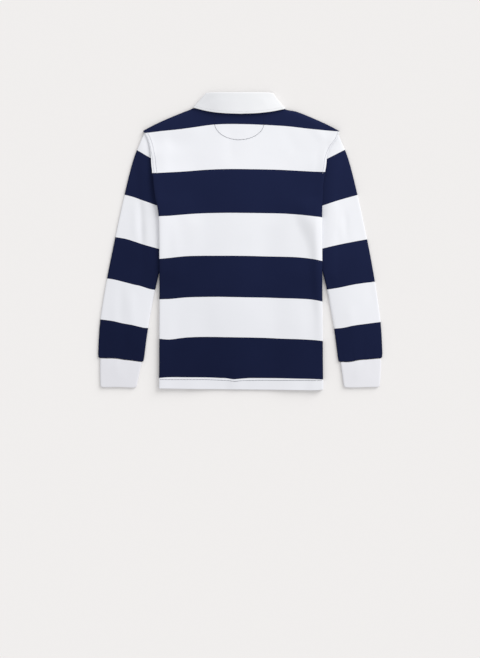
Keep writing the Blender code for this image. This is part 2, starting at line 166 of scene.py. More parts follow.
sleeveStripes = {
    "firstColour": 1,
    "band": 86.0,
    -1: [
        [(-219, 503.4), (-190, 486.4), (-120, 452.0)],
        [(-243, 408.7), (-226, 404.0), (-211, 398.5), (-200, 394.6), (-178, 386.8), (-120, 369.1)],
        [(-264, 320.2), (-240, 315.8), (-205, 304.4), (-173, 295.4), (-120, 281.0)],
        [(-279, 232.9), (-262, 229.7), (-225, 220.1), (-211, 217.1), (-195, 211.8), (-181, 209.1),
         (-150, 206.5)],
        [(-295, 147.2), (-270, 143.9), (-250, 139.3), (-228, 135.3), (-205, 129.9), (-195, 129.0)],
    ],
    1: [
        [(120, 456.0), (181, 484.8), (219, 504.3)],
        [(120, 369.4), (172, 386.2), (205, 397.1), (244, 408.4)],
        [(120, 284.1), (172, 296.2), (205, 304.0), (235, 310.0), (264, 315.4)],
        [(150, 206.5), (181, 209.9), (205, 213.5), (240, 220.7), (281, 226.3)],
        [(196, 127.8), (215, 129.6), (236, 134.2), (262, 137.8), (293, 141.8)],
    ],
}


def stripeCounter(stripes, part):
    # counts up by one at each edge on the way down, so that its whole numbers are the edges
    lines = [smoothCurve(points) for points in stripes[part]]
    firstColour, band = stripes["firstColour"], stripes["band"]

    def countAt(x, height):
        levels = [line(x) for line in lines]
        if height >= levels[0]:
            return firstColour + 1 - (height - levels[0]) / band
        for k in range(len(levels) - 1):
            if height >= levels[k + 1]:
                return firstColour + 1 + k + (levels[k] - height) / (levels[k] - levels[k + 1])
        return firstColour + len(levels) + (levels[-1] - height) / band

    return countAt


bodyCount = stripeCounter(bodyStripes, "edges")
sleeveCount = {side: stripeCounter(sleeveStripes, side) for side in (-1, 1)}


# Making cloth: a grid laid flat, moved point by point, and given its wall

def deselectAll():
    if bpy.context.object and bpy.context.object.mode != "OBJECT":
        bpy.ops.object.mode_set(mode="OBJECT")
    bpy.ops.object.select_all(action="DESELECT")


def applyModifiers(piece):
    deselectAll()
    piece.select_set(True)
    bpy.context.view_layer.objects.active = piece
    for modifier in list(piece.modifiers):
        bpy.ops.object.modifier_apply(modifier=modifier.name)


def toMetres(x, height, z):
    return Vector((x * mm, (height - layers["hemToCollarTop"] / 2) * mm, z * mm))


def makeCloth(name, columns, rows, place, wall, rounding=0.3, cut=None):
    # place gives a point as x, height, z, its share of the wall, its stripe count, and where it is on the
    # flat cloth
    deselectAll()
    bpy.ops.mesh.primitive_grid_add(x_subdivisions=columns, y_subdivisions=rows, size=1)
    piece = bpy.context.object
    piece.name = name
    mesh = piece.data
    spots = []
    for vertex in mesh.vertices:
        column = round((vertex.co.x + 0.5) * columns)
        row = round((vertex.co.y + 0.5) * rows)
        spots.append(place(column, row))
    mesh.uv_layers.remove(mesh.uv_layers[0])
    stripes = mesh.uv_layers.new(name="stripes")
    grain = mesh.uv_layers.new(name="grain")
    for loop in mesh.loops:
        spot = spots[loop.vertex_index]
        stripes.data[loop.index].uv = (spot[0] * mm, spot[4])
        grain.data[loop.index].uv = (spot[5] * mm, spot[6] * mm)
    share = piece.vertex_groups.new(name="wall")
    for index, spot in enumerate(spots):
        mesh.vertices[index].co = toMetres(*spot[:3])
        share.add([index], spot[3], "REPLACE")
    bpy.ops.object.mode_set(mode="EDIT")
    bpy.ops.mesh.select_mode(type="FACE")
    if cut:
        bpy.ops.mesh.select_all(action="DESELECT")
        bpy.ops.object.mode_set(mode="OBJECT")
        for face in mesh.polygons:
            face.select = cut(face.center)
        bpy.ops.object.mode_set(mode="EDIT")
        bpy.ops.mesh.delete(type="FACE")
    bpy.ops.mesh.select_all(action="SELECT")
    bpy.ops.mesh.remove_doubles(threshold=0.00001)
    bpy.ops.mesh.normals_make_consistent(inside=False)
    bpy.ops.object.mode_set(mode="OBJECT")
    thick = piece.modifiers.new("Wall", "SOLIDIFY")
    thick.thickness = wall * mm
    thick.offset = 0
    thick.vertex_group = "wall"
    edges = piece.modifiers.new("Rounded edges", "BEVEL")
    edges.width = rounding * mm
    edges.segments = 2
    edges.limit_method = "ANGLE"
    edges.angle_limit = math.radians(60)
    applyModifiers(piece)
    bpy.ops.object.shade_smooth_by_angle(angle=math.radians(50))
    return piece


# Materials

def linearColour(hexColour):
    parts = [int(hexColour[k:k + 2], 16) / 255 for k in (0, 2, 4)]
    return (*[c / 12.92 if c <= 0.04045 else ((c + 0.055) / 1.055) ** 2.4 for c in parts], 1)


def addNode(tree, kind, settings=None, links=None):
    node = tree.nodes.new(kind)
    for key, value in (settings or {}).items():
        if isinstance(key, int) or key in node.inputs:
            node.inputs[key].default_value = value
        else:
            setattr(node, key, value)
    for key, source in (links or {}).items():
        tree.links.new(source, node.inputs[key])
    return node


def newMaterial(name, settings):
    material = bpy.data.materials.new(name)
    material.use_nodes = True
    tree = material.node_tree
    shader = tree.nodes["Principled BSDF"]
    for key, value in settings.items():
        shader.inputs[key].default_value = value
    return material, tree, shader


# Metres between the bands of a Wave texture at scale 1, and the height of a stitch's or yarn's relief
waveStep = 0.314
yarnHeight = 0.0004


def knitNodes(tree, cloth):
    # the small relief of knitted or woven cloth, from bands across and along it
    flat = addNode(tree, "ShaderNodeUVMap", {"uv_map": "grain"})
    turned = addNode(tree, "ShaderNodeMapping", {"Rotation": (0, 0, math.radians(cloth["slant"]))},
                     {"Vector": flat.outputs["UV"]})
    bands = []
    for direction, spacing, distortion in (("X", cloth["across"], 0.6), ("Y", cloth["along"], 0.8)):
        settings = {"bands_direction": direction, "Scale": waveStep / (spacing * mm),
                    "Distortion": distortion, "Detail": 1.0, "Detail Scale": 2.0}
        bands.append(addNode(tree, "ShaderNodeTexWave", settings, {"Vector": turned.outputs["Vector"]}))
    return bands


def paintedLightAndClouds(tree, cloth):
    # painted light and shade: 0 at the hem's left, where it is shaded, to 1 at the right shoulder, towards
    # the light, made uneven by soft clouds of tone
    far = cloth["paintedLightReach"]
    place = addNode(tree, "ShaderNodeTexCoord")
    turned = addNode(tree, "ShaderNodeMapping", {"Rotation": (0, 0, math.radians(cloth["paintedLightTurn"]))},
                     {"Vector": place.outputs["Object"]})
    along = addNode(tree, "ShaderNodeSeparateXYZ", None, {"Vector": turned.outputs["Vector"]})
    # the painted light rises along this way across the object
    rise = addNode(tree, "ShaderNodeMapRange", {"From Min": -far, "From Max": far},
                   {"Value": along.outputs["Y"]})
    cloudy = addNode(tree, "ShaderNodeTexNoise", {"Scale": 8.0, "Detail": 3.0},
                     {"Vector": place.outputs["Object"]})
    uneven = addNode(tree, "ShaderNodeMath", {"operation": "MULTIPLY_ADD", 1: 0.5, 2: -0.25},
                     {0: cloudy.outputs["Fac"]})
    both = addNode(tree, "ShaderNodeMath", {"operation": "ADD", "use_clamp": True},
                   {0: rise.outputs["Result"], 1: uneven.outputs[0]})
    return both.outputs[0]


jersey = {
    "navy": ["111731", "1b2241"],     # painted shade at the hem's left, and painted light over the right shoulder
    "white": ["dadbe0", "e7e8ec"],
    "across": 1.7,       # ribs of the knit are 0.9 mm apart, and drawn wider so that they show
    "along": 1.3,        # rows are 0.7 mm apart, drawn wider as well
    "slant": 0,
    "relief": 0.10,
    "ragged": 0.004,     # how far a stripe's edge follows the ribs, as a share of the stripe
    "paintedLightTurn": 28,      # degrees between upright and the way that the painted light rises
    "paintedLightReach": 0.34,   # metres from the middle to where the painted shade is full, and to where the painted light is full
}


def makeJersey():
    # Heavy cotton jersey, yarn-dyed in stripes: matt and dense, edges of the stripes crisp to one row of
    # stitches, faint upright ribs of the knit, colour that is a little uneven, as in washed cotton, and
    # painted light: paler towards the right shoulder, darker towards the hem's left.
    # Its fuzzy yarn hardly mirrors anything.
    material, tree, shader = newMaterial("Striped cotton jersey",
                                         {"Roughness": 0.92, "Specular IOR Level": 0.06})
    across, along = knitNodes(tree, jersey)
    stripes = addNode(tree, "ShaderNodeUVMap", {"uv_map": "stripes"})
    count = addNode(tree, "ShaderNodeSeparateXYZ", None, {"Vector": stripes.outputs["UV"]})
    ragged = addNode(tree, "ShaderNodeMath", {"operation": "MULTIPLY_ADD", 1: jersey["ragged"]},
                     {0: across.outputs["Fac"], 2: count.outputs["Y"]})
    half = addNode(tree, "ShaderNodeMath", {"operation": "MULTIPLY", 1: 0.5}, {0: ragged.outputs[0]})
    part = addNode(tree, "ShaderNodeMath", {"operation": "FRACT"}, {0: half.outputs[0]})
    white = addNode(tree, "ShaderNodeMath", {"operation": "GREATER_THAN", 1: 0.5}, {0: part.outputs[0]})
    paintedLitShare = paintedLightAndClouds(tree, jersey)
    # painted light: each stripe colour runs from its shaded tone at the hem's left to its lit tone at the
    # right shoulder
    tones = []
    for colour in ("navy", "white"):
        full, pale = [linearColour(tone) for tone in jersey[colour]]
        tones.append(addNode(tree, "ShaderNodeMix", {"data_type": "RGBA", 6: full, 7: pale}, {0: paintedLitShare}))
    striped = addNode(tree, "ShaderNodeMix", {"data_type": "RGBA"},
                      {0: white.outputs[0], 6: tones[0].outputs[2], 7: tones[1].outputs[2]})
    loops = addNode(tree, "ShaderNodeMath", {"operation": "MULTIPLY"},
                    {0: across.outputs["Fac"], 1: along.outputs["Fac"]})
    relief = addNode(tree, "ShaderNodeBump", {"Strength": jersey["relief"], "Distance": yarnHeight},
                     {"Height": loops.outputs[0]})
    tree.links.new(striped.outputs[2], shader.inputs["Base Color"])
    tree.links.new(relief.outputs["Normal"], shader.inputs["Normal"])
    return material


# the twill's whites: painted shade on the collar's left end, painted light on its right end
twill = {"white": ["d7d8db", "e8e9eb"], "across": 1.5, "along": 1.1, "slant": 27, "relief": 0.14,
         "paintedLightTurn": 90, "paintedLightReach": 0.075}
# the rib's whites: painted shade towards the hem's left, painted light towards the right shoulder
rib = {"white": ["d6d6db", "e8e8ec"], "across": 2.0, "along": 1.3, "slant": 0, "relief": 0.12,
       "paintedLightTurn": 28, "paintedLightReach": 0.34}


def makeWhiteCotton(name, cloth):
    material, tree, shader = newMaterial(name, {"Roughness": 0.9, "Specular IOR Level": 0.08})
    across, along = knitNodes(tree, cloth)
    # painted light and shade: the tone runs from the darker white to the paler one across the piece
    paintedLitShare = paintedLightAndClouds(tree, cloth)
    full, pale = [linearColour(tone) for tone in cloth["white"]]
    tone = addNode(tree, "ShaderNodeMix", {"data_type": "RGBA", 6: full, 7: pale}, {0: paintedLitShare})
    yarn = addNode(tree, "ShaderNodeMath", {"operation": "MULTIPLY_ADD", 1: 0.35},
                   {0: along.outputs["Fac"], 2: across.outputs["Fac"]})
    relief = addNode(tree, "ShaderNodeBump", {"Strength": cloth["relief"], "Distance": yarnHeight},
                     {"Height": yarn.outputs[0]})
    tree.links.new(tone.outputs[2], shader.inputs["Base Color"])
    tree.links.new(relief.outputs["Normal"], shader.inputs["Normal"])
    return material


def makeThread(name, colour):
    # Spun sewing thread: matt with a slight lustre, twisted, with painted shade in bands between its plies.
    material, tree, shader = newMaterial(name, {"Roughness": 0.6, "Specular IOR Level": 0.2})
    place = addNode(tree, "ShaderNodeTexCoord")
    # bands of painted shade between the twisted plies
    plies = addNode(tree, "ShaderNodeTexWave", {"bands_direction": "DIAGONAL", "Scale": 900.0},
                    {"Vector": place.outputs["Object"]})
    bright = linearColour(colour)
    paintedPlyShade = (*[part * 0.8 for part in bright[:3]], 1)
    tone = addNode(tree, "ShaderNodeMix", {"data_type": "RGBA", 6: paintedPlyShade, 7: bright},
                   {0: plies.outputs["Fac"]})
    tree.links.new(tone.outputs[2], shader.inputs["Base Color"])
    return material


def makeButtonResin():
    # Moulded polyester button: satin white, with faint clouds like shell, and a soft highlight on its rim.
    material, tree, shader = newMaterial("White button resin", {"Roughness": 0.28, "IOR": 1.54})
    place = addNode(tree, "ShaderNodeTexCoord")
    clouds = addNode(tree, "ShaderNodeTexNoise", {"Scale": 260.0, "Detail": 2.0, "Distortion": 1.2},
                     {"Vector": place.outputs["Object"]})
    tone = addNode(tree, "ShaderNodeMix",
                   {"data_type": "RGBA", 6: linearColour("f2f0ea"), 7: linearColour("e2dfd6")},
                   {0: clouds.outputs["Fac"]})
    tree.links.new(tone.outputs[2], shader.inputs["Base Color"])
    return material


def makeFloorPaper():
    # Matt backdrop paper: pale, warm, with a trace of tooth and no gloss.
    material, tree, shader = newMaterial("Backdrop paper", {"Roughness": 0.95, "Specular IOR Level": 0.05})
    place = addNode(tree, "ShaderNodeTexCoord")
    tooth = addNode(tree, "ShaderNodeTexNoise", {"Scale": 700.0, "Detail": 2.0},
                    {"Vector": place.outputs["Object"]})
    tone = addNode(tree, "ShaderNodeMix",
                   {"data_type": "RGBA", 6: linearColour("e6e4e3"), 7: linearColour("e4e2e1")},
                   {0: tooth.outputs["Fac"]})
    tree.links.new(tone.outputs[2], shader.inputs["Base Color"])
    return material


jerseyMaterial = makeJersey()
# White cotton twill: closely woven, steep diagonal ridges, smoother and brighter than the jersey, with
# painted shade on the collar's left and painted light on its right.
twillMaterial = makeWhiteCotton("White cotton twill", twill)
# Fine doubled rib knit: shallow upright ribs that close up when it is not stretched, a greyer white, with
# painted shade towards the hem's left and painted light towards the right shoulder.
ribMaterial = makeWhiteCotton("White rib knit", rib)
navyThread = makeThread("Navy sewing thread", "1b2342")
whiteThread = makeThread("White sewing thread", "e6e7ea")
# the armhole's white thread drawn grey: painted shade of the groove that it lies in
whiteThreadPaintedShade = makeThread("White sewing thread with painted groove shade", "a9acb6")
print("Materials ready")


# The body. Its sides are turned in like a gusset, and the sleeves pass out between front and back.
bodyCut = {
    "neckPoint": 596.0,
    "shoulderTip": 543.0,
    "halfShoulders": 206.0,
    "halfNeck": 86.0,
    "backNeckDrop": 11.5,
    "frontNeckDrop": 75.0,
    "shoulderFull": (2.0, 1.2),   # how far the shoulder line bows, evenly and towards its tip
    "frontShort": 1.5,   # the front's armhole is cut a little deeper, between these heights
    "frontShortSpan": (470, 500, 525, 543),
    # the edge that shows, left and right of the picture
    "edge": [(0, 172.2, 172.6), (80, 171.8, 172.0), (190, 171.4, 171.0), (300, 171.6, 170.4),
             (366, 173.0, 170.4), (387, 176.2, 170.6), (401, 179.8, 171.2), (416, 182.0, 171.8),
             (430, 183.9, 172.5), (443, 185.0, 174.2), (454, 185.6, 175.7), (470, 187.8, 178.6),
             (488, 188.9, 180.5), (499, 189.8, 183.2), (513, 192.6, 190.2), (529, 197.9, 201.8),
             (543, 205.7, 206.6)],
    # width of cloth turned in past it: height, back, front
    "turned": [(0, 58, 58), (170, 61, 61), (342, 64, 64), (360, 50, 48), (380, 36.8, 33.3), (405, 23.0, 18.5),
               (430, 10.5, 6.5), (445, 4.0, 1.5), (458, 0.0, 0.0), (500, 0.0, 0.0), (543, 0.0, 0.0)],
    "hem": 19.6,
    "hemHalf": 172.0,    # half the width that shows at the hem
    "slotHalf": 15.3,    # the placket's slot in the front
    "slotFoot": 371.0,
    # between these heights the rows begin to follow the line of neck and shoulder
    "rowBend": (380, 560),
    "neckColumns": 18,
    "shoulderColumns": 20,
    "turnColumns": 9,
    "stripColumns": 12,
    "clearOfFold": 8.0,  # the flat columns end this far inside the cut edge, at least
    "turnBand": 5.2,     # cloth that goes round the fold
}
bodyLift = {
    # how far a turned-in ply lifts the next, at its fold and further in, and how slowly that dies out
    "tuckEdge": 2.4,
    "tuckFlat": 1.7,
    "tuckEase": 20.0,
    "tuckRamp": 78.0,
    "tuckEnds": {-1: (490, 527), 1: (458, 505)},
    "tuckEdgeEnds": (435, 470),
    # the sleeve's two plies, the collar's leaf and the placket under the back
    "sleeveRoom": 3.4,
    "sleeveRamp": 70.0,
    "shoulderRamp": 40.0,
    "shoulderSpan": (440, 500),
    "sleeveClear": 5,
    "leafLift": 2.2,
    "leafTop": 467,
    "leafHalf": 103,
    "placketLift": 2.5,
    "placketFoot": 367,
    "placketHalf": 17,
    # air under the back, at the hem and the yoke, and the soft swell between them
    "bodyLoft": 1.8,
    "yokeLoft": 3.7,
    "loftSpan": (150, 350),
    "loftAtHem": 0.4,    # the share of it that is left at the hem
    "loftHemSpan": (0, 50),
    "loftAtSide": 34,    # how far inside the fold it is full
    "loftAtTop": 12.0,   # and how far below the shoulder line
    "neckToShoulder": (60, 92),
    "domeRise": 4.0,
    "domeMiddle": -30.0,
    "domeWidth": 80.0,
    "domeSpan": (40, 200, 420, 570),
    "yokeSpread": 1.75,  # the left of the yoke comes down more slowly
    "yokeSpan": (400, 460),
    "rightSpread": 1.4,  # and so does the right of the body
    "rightSpan": (190, 240, 380, 440),
    "puff": 1.0,         # beside the left armhole, this far inside it
    "puffInset": 27,
    "puffWidth": 15,
    "puffSpan": (440, 462, 512, 535),
    "hemLift": 0.7,      # the doubled hem is thicker
    "hemSpan": (19, 44),
    "seamLift": 0.8,     # and so is the armhole's seam
    "ridgeRight": 0.9,   # the right armhole's seam stands up more than the left one's
    "ridgeInset": (18, 11),
    "ridgeSpan": (446, 458, 520, 538),
    "slump": 4.8,        # the right shoulder sags a little beside the collar
    "slumpMiddle": 94,
    "slumpWidth": 15,
    "slumpSpan": (552, 592),
    # the right side rises over the sleeve's inner fold, as a soft step: height, its middle
    "stepRight": [(60, 166), (146, 164), (190, 160), (234, 155), (291, 151.5), (322, 143.5), (352, 132),
                  (400, 116)],
    "stepRise": [(60, 0.0), (130, 2.7), (200, 5.4), (310, 5.4), (350, 6.6), (372, 4.6), (405, 0.0)],
    "stepWidth": [(60, 25), (290, 25), (350, 38), (405, 40)],
    "stepAtFold": 0.45,  # the share of it that is left at the fold
    "stepRound": 12,
    # and the body's left fold stands up over the sleeve: height, rise
    "foldLeft": [(60, 0.0), (205, 0.2), (262, 1.5), (310, 2.7), (390, 4.6), (430, 4.6), (455, 3.0),
                 (480, 1.2), (515, 0.0)],
    "foldWidth": [(60, 26), (405, 26), (450, 70), (515, 80)],
    "creaseAtFold": 0.35,   # folds die out towards the sides
    "creaseRound": 14,
}
# folds smoothed nearly flat: start x, start height, end x, end height, half width, rise
backCreases = [
    (-22, 556, -18, 474, 14, -1.10),
    (-152, 378, -131, 268, 14, 0.90),
    (-13, -6, -12, 52, 9, 1.30),
    (-34, -4, -31, 34, 8, -0.40),
    (146, -4, 158, 40, 9, 0.90),
    (-146, 196, -152, 92, 12, 0.60),
    (-136, 292, -128, 214, 13, 0.50),
    (72, 470, 90, 382, 20, 0.60),
    (-92, 486, -110, 398, 22, -0.60),
    (24, 342, 18, 226, 24, 0.65),
    (-60, 250, -52, 118, 22, 0.60),
    (66, 214, 74, 92, 25, -0.55),
    (120, 176, 132, 60, 15, 0.55),
    (184, 528, 176, 488, 6, -0.80),
    (150, 556, 178, 520, 9, 0.80),
    (-166, 548, -150, 500, 9, 0.60),
    (92, 548, 120, 494, 14, -0.50),
    (-160, 544, -84, 553, 20, 1.50),
    (178, 508, 171, 458, 6, 1.10),
]
frontCreases = [
    (-96, 330, -84, 214, 20, 0.35),
    (58, 268, 66, 120, 24, 0.30),
    (118, 196, 124, 70, 15, 0.32),
    (-40, 160, -36, 40, 22, 0.28),
]
edgeLeft, edgeRight = rowCurves(bodyCut["edge"])
turnedCurves = dict(zip(("back", "front"), rowCurves(bodyCut["turned"])))
stepMiddle, stepRise, stepWidth, foldLeft, foldWidth = [
    smoothCurve(bodyLift[name]) for name in ("stepRight", "stepRise", "stepWidth", "foldLeft", "foldWidth")]
# the hem isn't quite level: x, rise
hemShift = straightCurve([(-172, 2.4), (-100, 1.2), (0, 0.3), (100, -0.8), (150, -1.5), (163, -1.1),
                          (172, 0.6)])
turnLength = math.pi * layers["turnRadius"]
flatColumns = 1 + bodyCut["neckColumns"] + bodyCut["shoulderColumns"]
halfColumns = flatColumns + bodyCut["turnColumns"] + bodyCut["stripColumns"]


def visibleEdge(side, height):
    return edgeRight(height) if side > 0 else edgeLeft(height)


def turnedWidth(panel, height):
    return max(turnedCurves[panel](height), 0.0)


def turnStart(side, height):
    fold = layers["turnRadius"] + layers["jersey"] / 2
    return visibleEdge(side, height) - fold * ease(0.0, turnLength, turnedWidth("back", height))


def reach(panel, side, height):
    short = bodyCut["frontShort"] * between(bodyCut["frontShortSpan"], height) if panel == "front" else 0.0
    return turnStart(side, height) + turnedWidth(panel, height) - short


def topEdge(panel, x):
    # neck and shoulder line
    x = abs(x)
    if x >= bodyCut["halfNeck"]:
        share = min((x - bodyCut["halfNeck"]) / (bodyCut["halfShoulders"] - bodyCut["halfNeck"]), 1.0)
        even, atTip = bodyCut["shoulderFull"]
        full = even * math.sin(math.pi * share) + atTip * math.sin(math.pi * share**2.2)
        return mix(bodyCut["neckPoint"], bodyCut["shoulderTip"], share) + full
    share = x / bodyCut["halfNeck"]
    if panel == "back":
        return bodyCut["neckPoint"] - bodyCut["backNeckDrop"] * (1 - share**2.5)
    return bodyCut["neckPoint"] - bodyCut["frontNeckDrop"] * math.sqrt(1 - share**2)


def spread(side, height):
    if side < 0:
        return mix(1.0, bodyLift["yokeSpread"], ease(*bodyLift["yokeSpan"], height))
    return mix(1.0, bodyLift["rightSpread"], between(bodyLift["rightSpan"], height))


def hemRise(height):
    return bodyLift["hemLift"] * (1 - ease(*bodyLift["hemSpan"], height))


def seamRise(height, low=440, high=456):
    return bodyLift["seamLift"] * ease(low, high, height)


def tuckLift(panel, side, x, height):
    # x is counted outwards here, on either side
    start = turnStart(side, height)
    into = max(start - x, 0.0)
    atFold = bump(into, 0.0, bodyLift["tuckEase"]) * (1 - ease(*bodyLift["tuckEdgeEnds"], height))
    room = mix(bodyLift["tuckFlat"], bodyLift["tuckEdge"], atFold)
    edge = start - max(turnedWidth(panel, height) - turnLength, 0.0)
    started = 1 - ease(*bodyLift["tuckEnds"][side], height)
    ramp = bodyLift["tuckRamp"] * spread(side, height)
    return room * started * ease(edge - 2 - ramp, edge - 2, x)


sleeveCut = {
    # along, outer x, outer height, inner x, inner height
    "edges": [
        (0.00, 202.0, 541.0, 114.0, 342.0),
        (0.08, 211.0, 521.0, 131.0, 331.0),
        (0.22, 227.1, 480.0, 149.0, 309.0),
        (0.36, 244.9, 409.6, 163.0, 277.0),
        (0.52, 264.7, 318.0, 173.5, 240.0),
        (0.68, 281.5, 231.0, 185.0, 188.0),
        (0.84, 294.7, 144.0, 196.5, 122.0),
        (0.96, 298.8, 79.0, 203.4, 69.1),
        (1.00, 298.0, 66.3, 205.4, 58.8),
    ],
    # the end under the back: height, x
    "cap": [(342, 114.0), (362, 130.0), (388, 148.5), (418, 164.5), (450, 173.0), (477, 176.5), (498, 179.5),
            (518, 187.0), (541, 202.0)],
    "length": 480.0,
    "rows": [(0.08, 7), (0.9, 72), (0.972, 12), (1.0, 12)],   # closer together at the gathers
    "lean": 1.5,         # the left sleeve lies further out than the right one
    "plies": 1.6,        # from its lower ply to its upper one, where the body presses on it
    "loft": 2.7,         # and how much further it stands up where it lies free
    "skew": 1.4,         # the fullest line lies towards the body
    "drop": 30.0,
    "freeBelow": 205.0,
    "heldAbove": 252.0,
    "steps": 34,
    "cornerRadius": 4.4,
    "gather": 0.42,
    "creases": {
        -1: [
            (-212, 400, -208, 304, 6, -1.35),
            (-224, 392, -222, 316, 8, 0.70),
            (-196, 356, -200, 296, 8, 0.50),
            (-232, 204, -226, 118, 11, 0.95),
            (-262, 296, -270, 214, 12, 0.60),
            (-246, 120, -240, 74, 8, -0.60),
            (-206, 470, -200, 424, 7, 0.50),
            (-276, 168, -281, 96, 10, -0.60),
            (-252, 220, -254, 132, 9, -0.70),
        ],
        1: [
            (219, 372, 222, 318, 7, -0.80),
            (203, 388, 206, 330, 9, 0.65),
            (240, 330, 250, 250, 13, 0.60),
            (228, 176, 234, 104, 12, 0.70),
            (208, 512, 204, 462, 7, 0.50),
            (258, 122, 262, 76, 8, -0.55),
            (270, 250, 276, 180, 10, -0.50),
            (222, 440, 226, 396, 9, -0.55),
        ],
    },
}
sleeveEdges = rowCurves(sleeveCut["edges"])
capEdge = smoothCurve(sleeveCut["cap"])
# where the back starts to rise over the sleeve: height, x
sleeveInside = smoothCurve([(60, 190), (150, 170), (205, 150), (250, 132), (300, 121), (342, 114), (388, 121),
                            (430, 139), (470, 164), (500, 180), (541, 202)])


def sleeveLift(side, x, height):
    inside = sleeveInside(height)
    beside = ease(sleeveCut["freeBelow"], sleeveCut["heldAbove"], height)
    ramp = bodyLift["sleeveRamp"]
    if side > 0:
        ramp = mix(ramp, bodyLift["shoulderRamp"], ease(*bodyLift["shoulderSpan"], height))
    ramp *= spread(side, height)
    end = inside - bodyLift["sleeveClear"]
    return bodyLift["sleeveRoom"] * beside * ease(end - ramp, end, x)


def leafLift(x, height, low=425, wide=145):
    upward = ease(low, bodyLift["leafTop"], height)
    return bodyLift["leafLift"] * upward * (1 - ease(bodyLift["leafHalf"], wide, x))


def placketShare(x, height, low=331, wide=62):
    return ease(low, bodyLift["placketFoot"], height) * (1 - ease(bodyLift["placketHalf"], wide, x))


def frontZ(x, height):
    lift = mix(leafLift(abs(x), height), bodyLift["placketLift"], placketShare(abs(x), height))
    start = turnStart(1 if x >= 0 else -1, height)
    armhole = seamRise(height) * ease(start - 24, start - 10, abs(x))
    return layers["floorPly"] + lift + armhole + hemRise(height)


def frontTuckZ(x, height):
    side = 1 if x >= 0 else -1
    return layers["floorPly"] + tuckLift("front", side, abs(x), height) + seamRise(height) + hemRise(height)


def backTuckZ(x, height):
    side = 1 if x >= 0 else -1
    return frontTuckZ(x, height) + sleeveLift(side, abs(x), height) + layers["ply"]


def backZ(x, height):
    # the back lies on whatever is under it, with some air between
    side, off = (1 if x >= 0 else -1), abs(x)
    start = turnStart(side, height)
    sides = tuckLift("front", side, off, height) + sleeveLift(side, off, height)
    sides += tuckLift("back", side, off, height)
    sides += seamRise(height, 430, 450) * ease(start - 40, start - 14, off)
    leaf = leafLift(off, height, 370, 168)
    middle = mix(leaf, bodyLift["placketLift"] + layers["ply"], placketShare(off, height, 210, 110))
    loft = mix(bodyLift["bodyLoft"], bodyLift["yokeLoft"], ease(*bodyLift["loftSpan"], height))
    dome = bump(x, bodyLift["domeMiddle"], bodyLift["domeWidth"])
    loft += bodyLift["domeRise"] * dome * between(bodyLift["domeSpan"], height)
    loft *= mix(bodyLift["loftAtHem"], 1.0, ease(*bodyLift["loftHemSpan"], height))
    loft *= ease(0, bodyLift["loftAtSide"], min(reach("back", side, height), start) - off)
    short = min(max((topEdge("back", off) - height) / bodyLift["loftAtTop"], 0.0), 1.0)
    loft *= mix(1.0, math.sqrt(1 - (1 - short) ** 2), ease(*bodyLift["neckToShoulder"], off))
    z = layers["floorPly"] + layers["ply"] + together(sides, middle, loft) + hemRise(height)
    if side > 0:
        half = stepWidth(height) / 2
        rounded = mix(bodyLift["stepAtFold"], 1.0, ease(0, bodyLift["stepRound"], start - off))
        z += stepRise(height) * rounded * ease(stepMiddle(height) - half, stepMiddle(height) + half, off)
        low, high = bodyLift["ridgeInset"]
        ridge = bodyLift["ridgeRight"] * between(bodyLift["ridgeSpan"], height)
        z += ridge * ease(start - low, start - high, off)
    else:
        z += foldLeft(height) * bump(off, start, foldWidth(height))
        puff = bodyLift["puff"] * between(bodyLift["puffSpan"], height)
        z += puff * bump(off, start - bodyLift["puffInset"], bodyLift["puffWidth"])
    calm = ease(0, bodyLift["creaseRound"], start - off)
    return z + creaseLift(backCreases, x, height) * mix(bodyLift["creaseAtFold"], 1.0, calm)


def cutX(panel, side, column, height):
    width = reach(panel, side, height)
    bend = min(turnStart(side, height), width - bodyCut["clearOfFold"])
    slot, neckColumns = bodyCut["slotHalf"], bodyCut["neckColumns"]
    if column <= 1:
        return slot * column
    if column <= 1 + neckColumns:
        first = math.asin(slot / bodyCut["halfNeck"])
        atNeck = bodyCut["halfNeck"] * math.sin(mix(first, math.pi / 2, (column - 1) / neckColumns))
        return slot + (atNeck - slot) * bend / (bodyCut["halfShoulders"] - bodyCut["clearOfFold"])
    if column <= flatColumns:
        past = (column - 1 - neckColumns) / bodyCut["shoulderColumns"]
        return mix(cutX(panel, side, 1 + neckColumns, height), bend, past)
    turn = min(bodyCut["turnBand"], 0.7 * (width - bend))
    if column <= flatColumns + bodyCut["turnColumns"]:
        return bend + turn * (column - flatColumns) / bodyCut["turnColumns"]
    return mix(bend + turn, width, (column - flatColumns - bodyCut["turnColumns"]) / bodyCut["stripColumns"])


def neckSlump(x, height):
    atNeck = bump(x, bodyLift["slumpMiddle"], bodyLift["slumpWidth"])
    return bodyLift["slump"] * atNeck * ease(*bodyLift["slumpSpan"], height)


def foldedSpot(panel, clothX, height):
    # a point of the flat panel, where it lies once the side is turned in
    side, off = (1 if clothX >= 0 else -1), abs(clothX)
    flatZ, tuckZ = (backZ, backTuckZ) if panel == "back" else (frontZ, frontTuckZ)
    low = hemShift(side * min(off, bodyCut["hemHalf"])) * (1 - ease(10, 90, height))
    low -= neckSlump(clothX, height)
    start = turnStart(side, height)
    if off <= start:
        z = flatZ(clothX, height)
        if panel == "front":
            z += creaseLift(frontCreases, clothX, height)
        return clothX, height + low, z
    past = off - start
    if past < turnLength:
        angle = past / layers["turnRadius"]
        z = mix(flatZ(side * start, height), tuckZ(side * start, height), (1 - math.cos(angle)) / 2)
        return side * (start + layers["turnRadius"] * math.sin(angle)), height + low, z
    x = side * (start - (past - turnLength))
    return x, height + low, tuckZ(x, height)


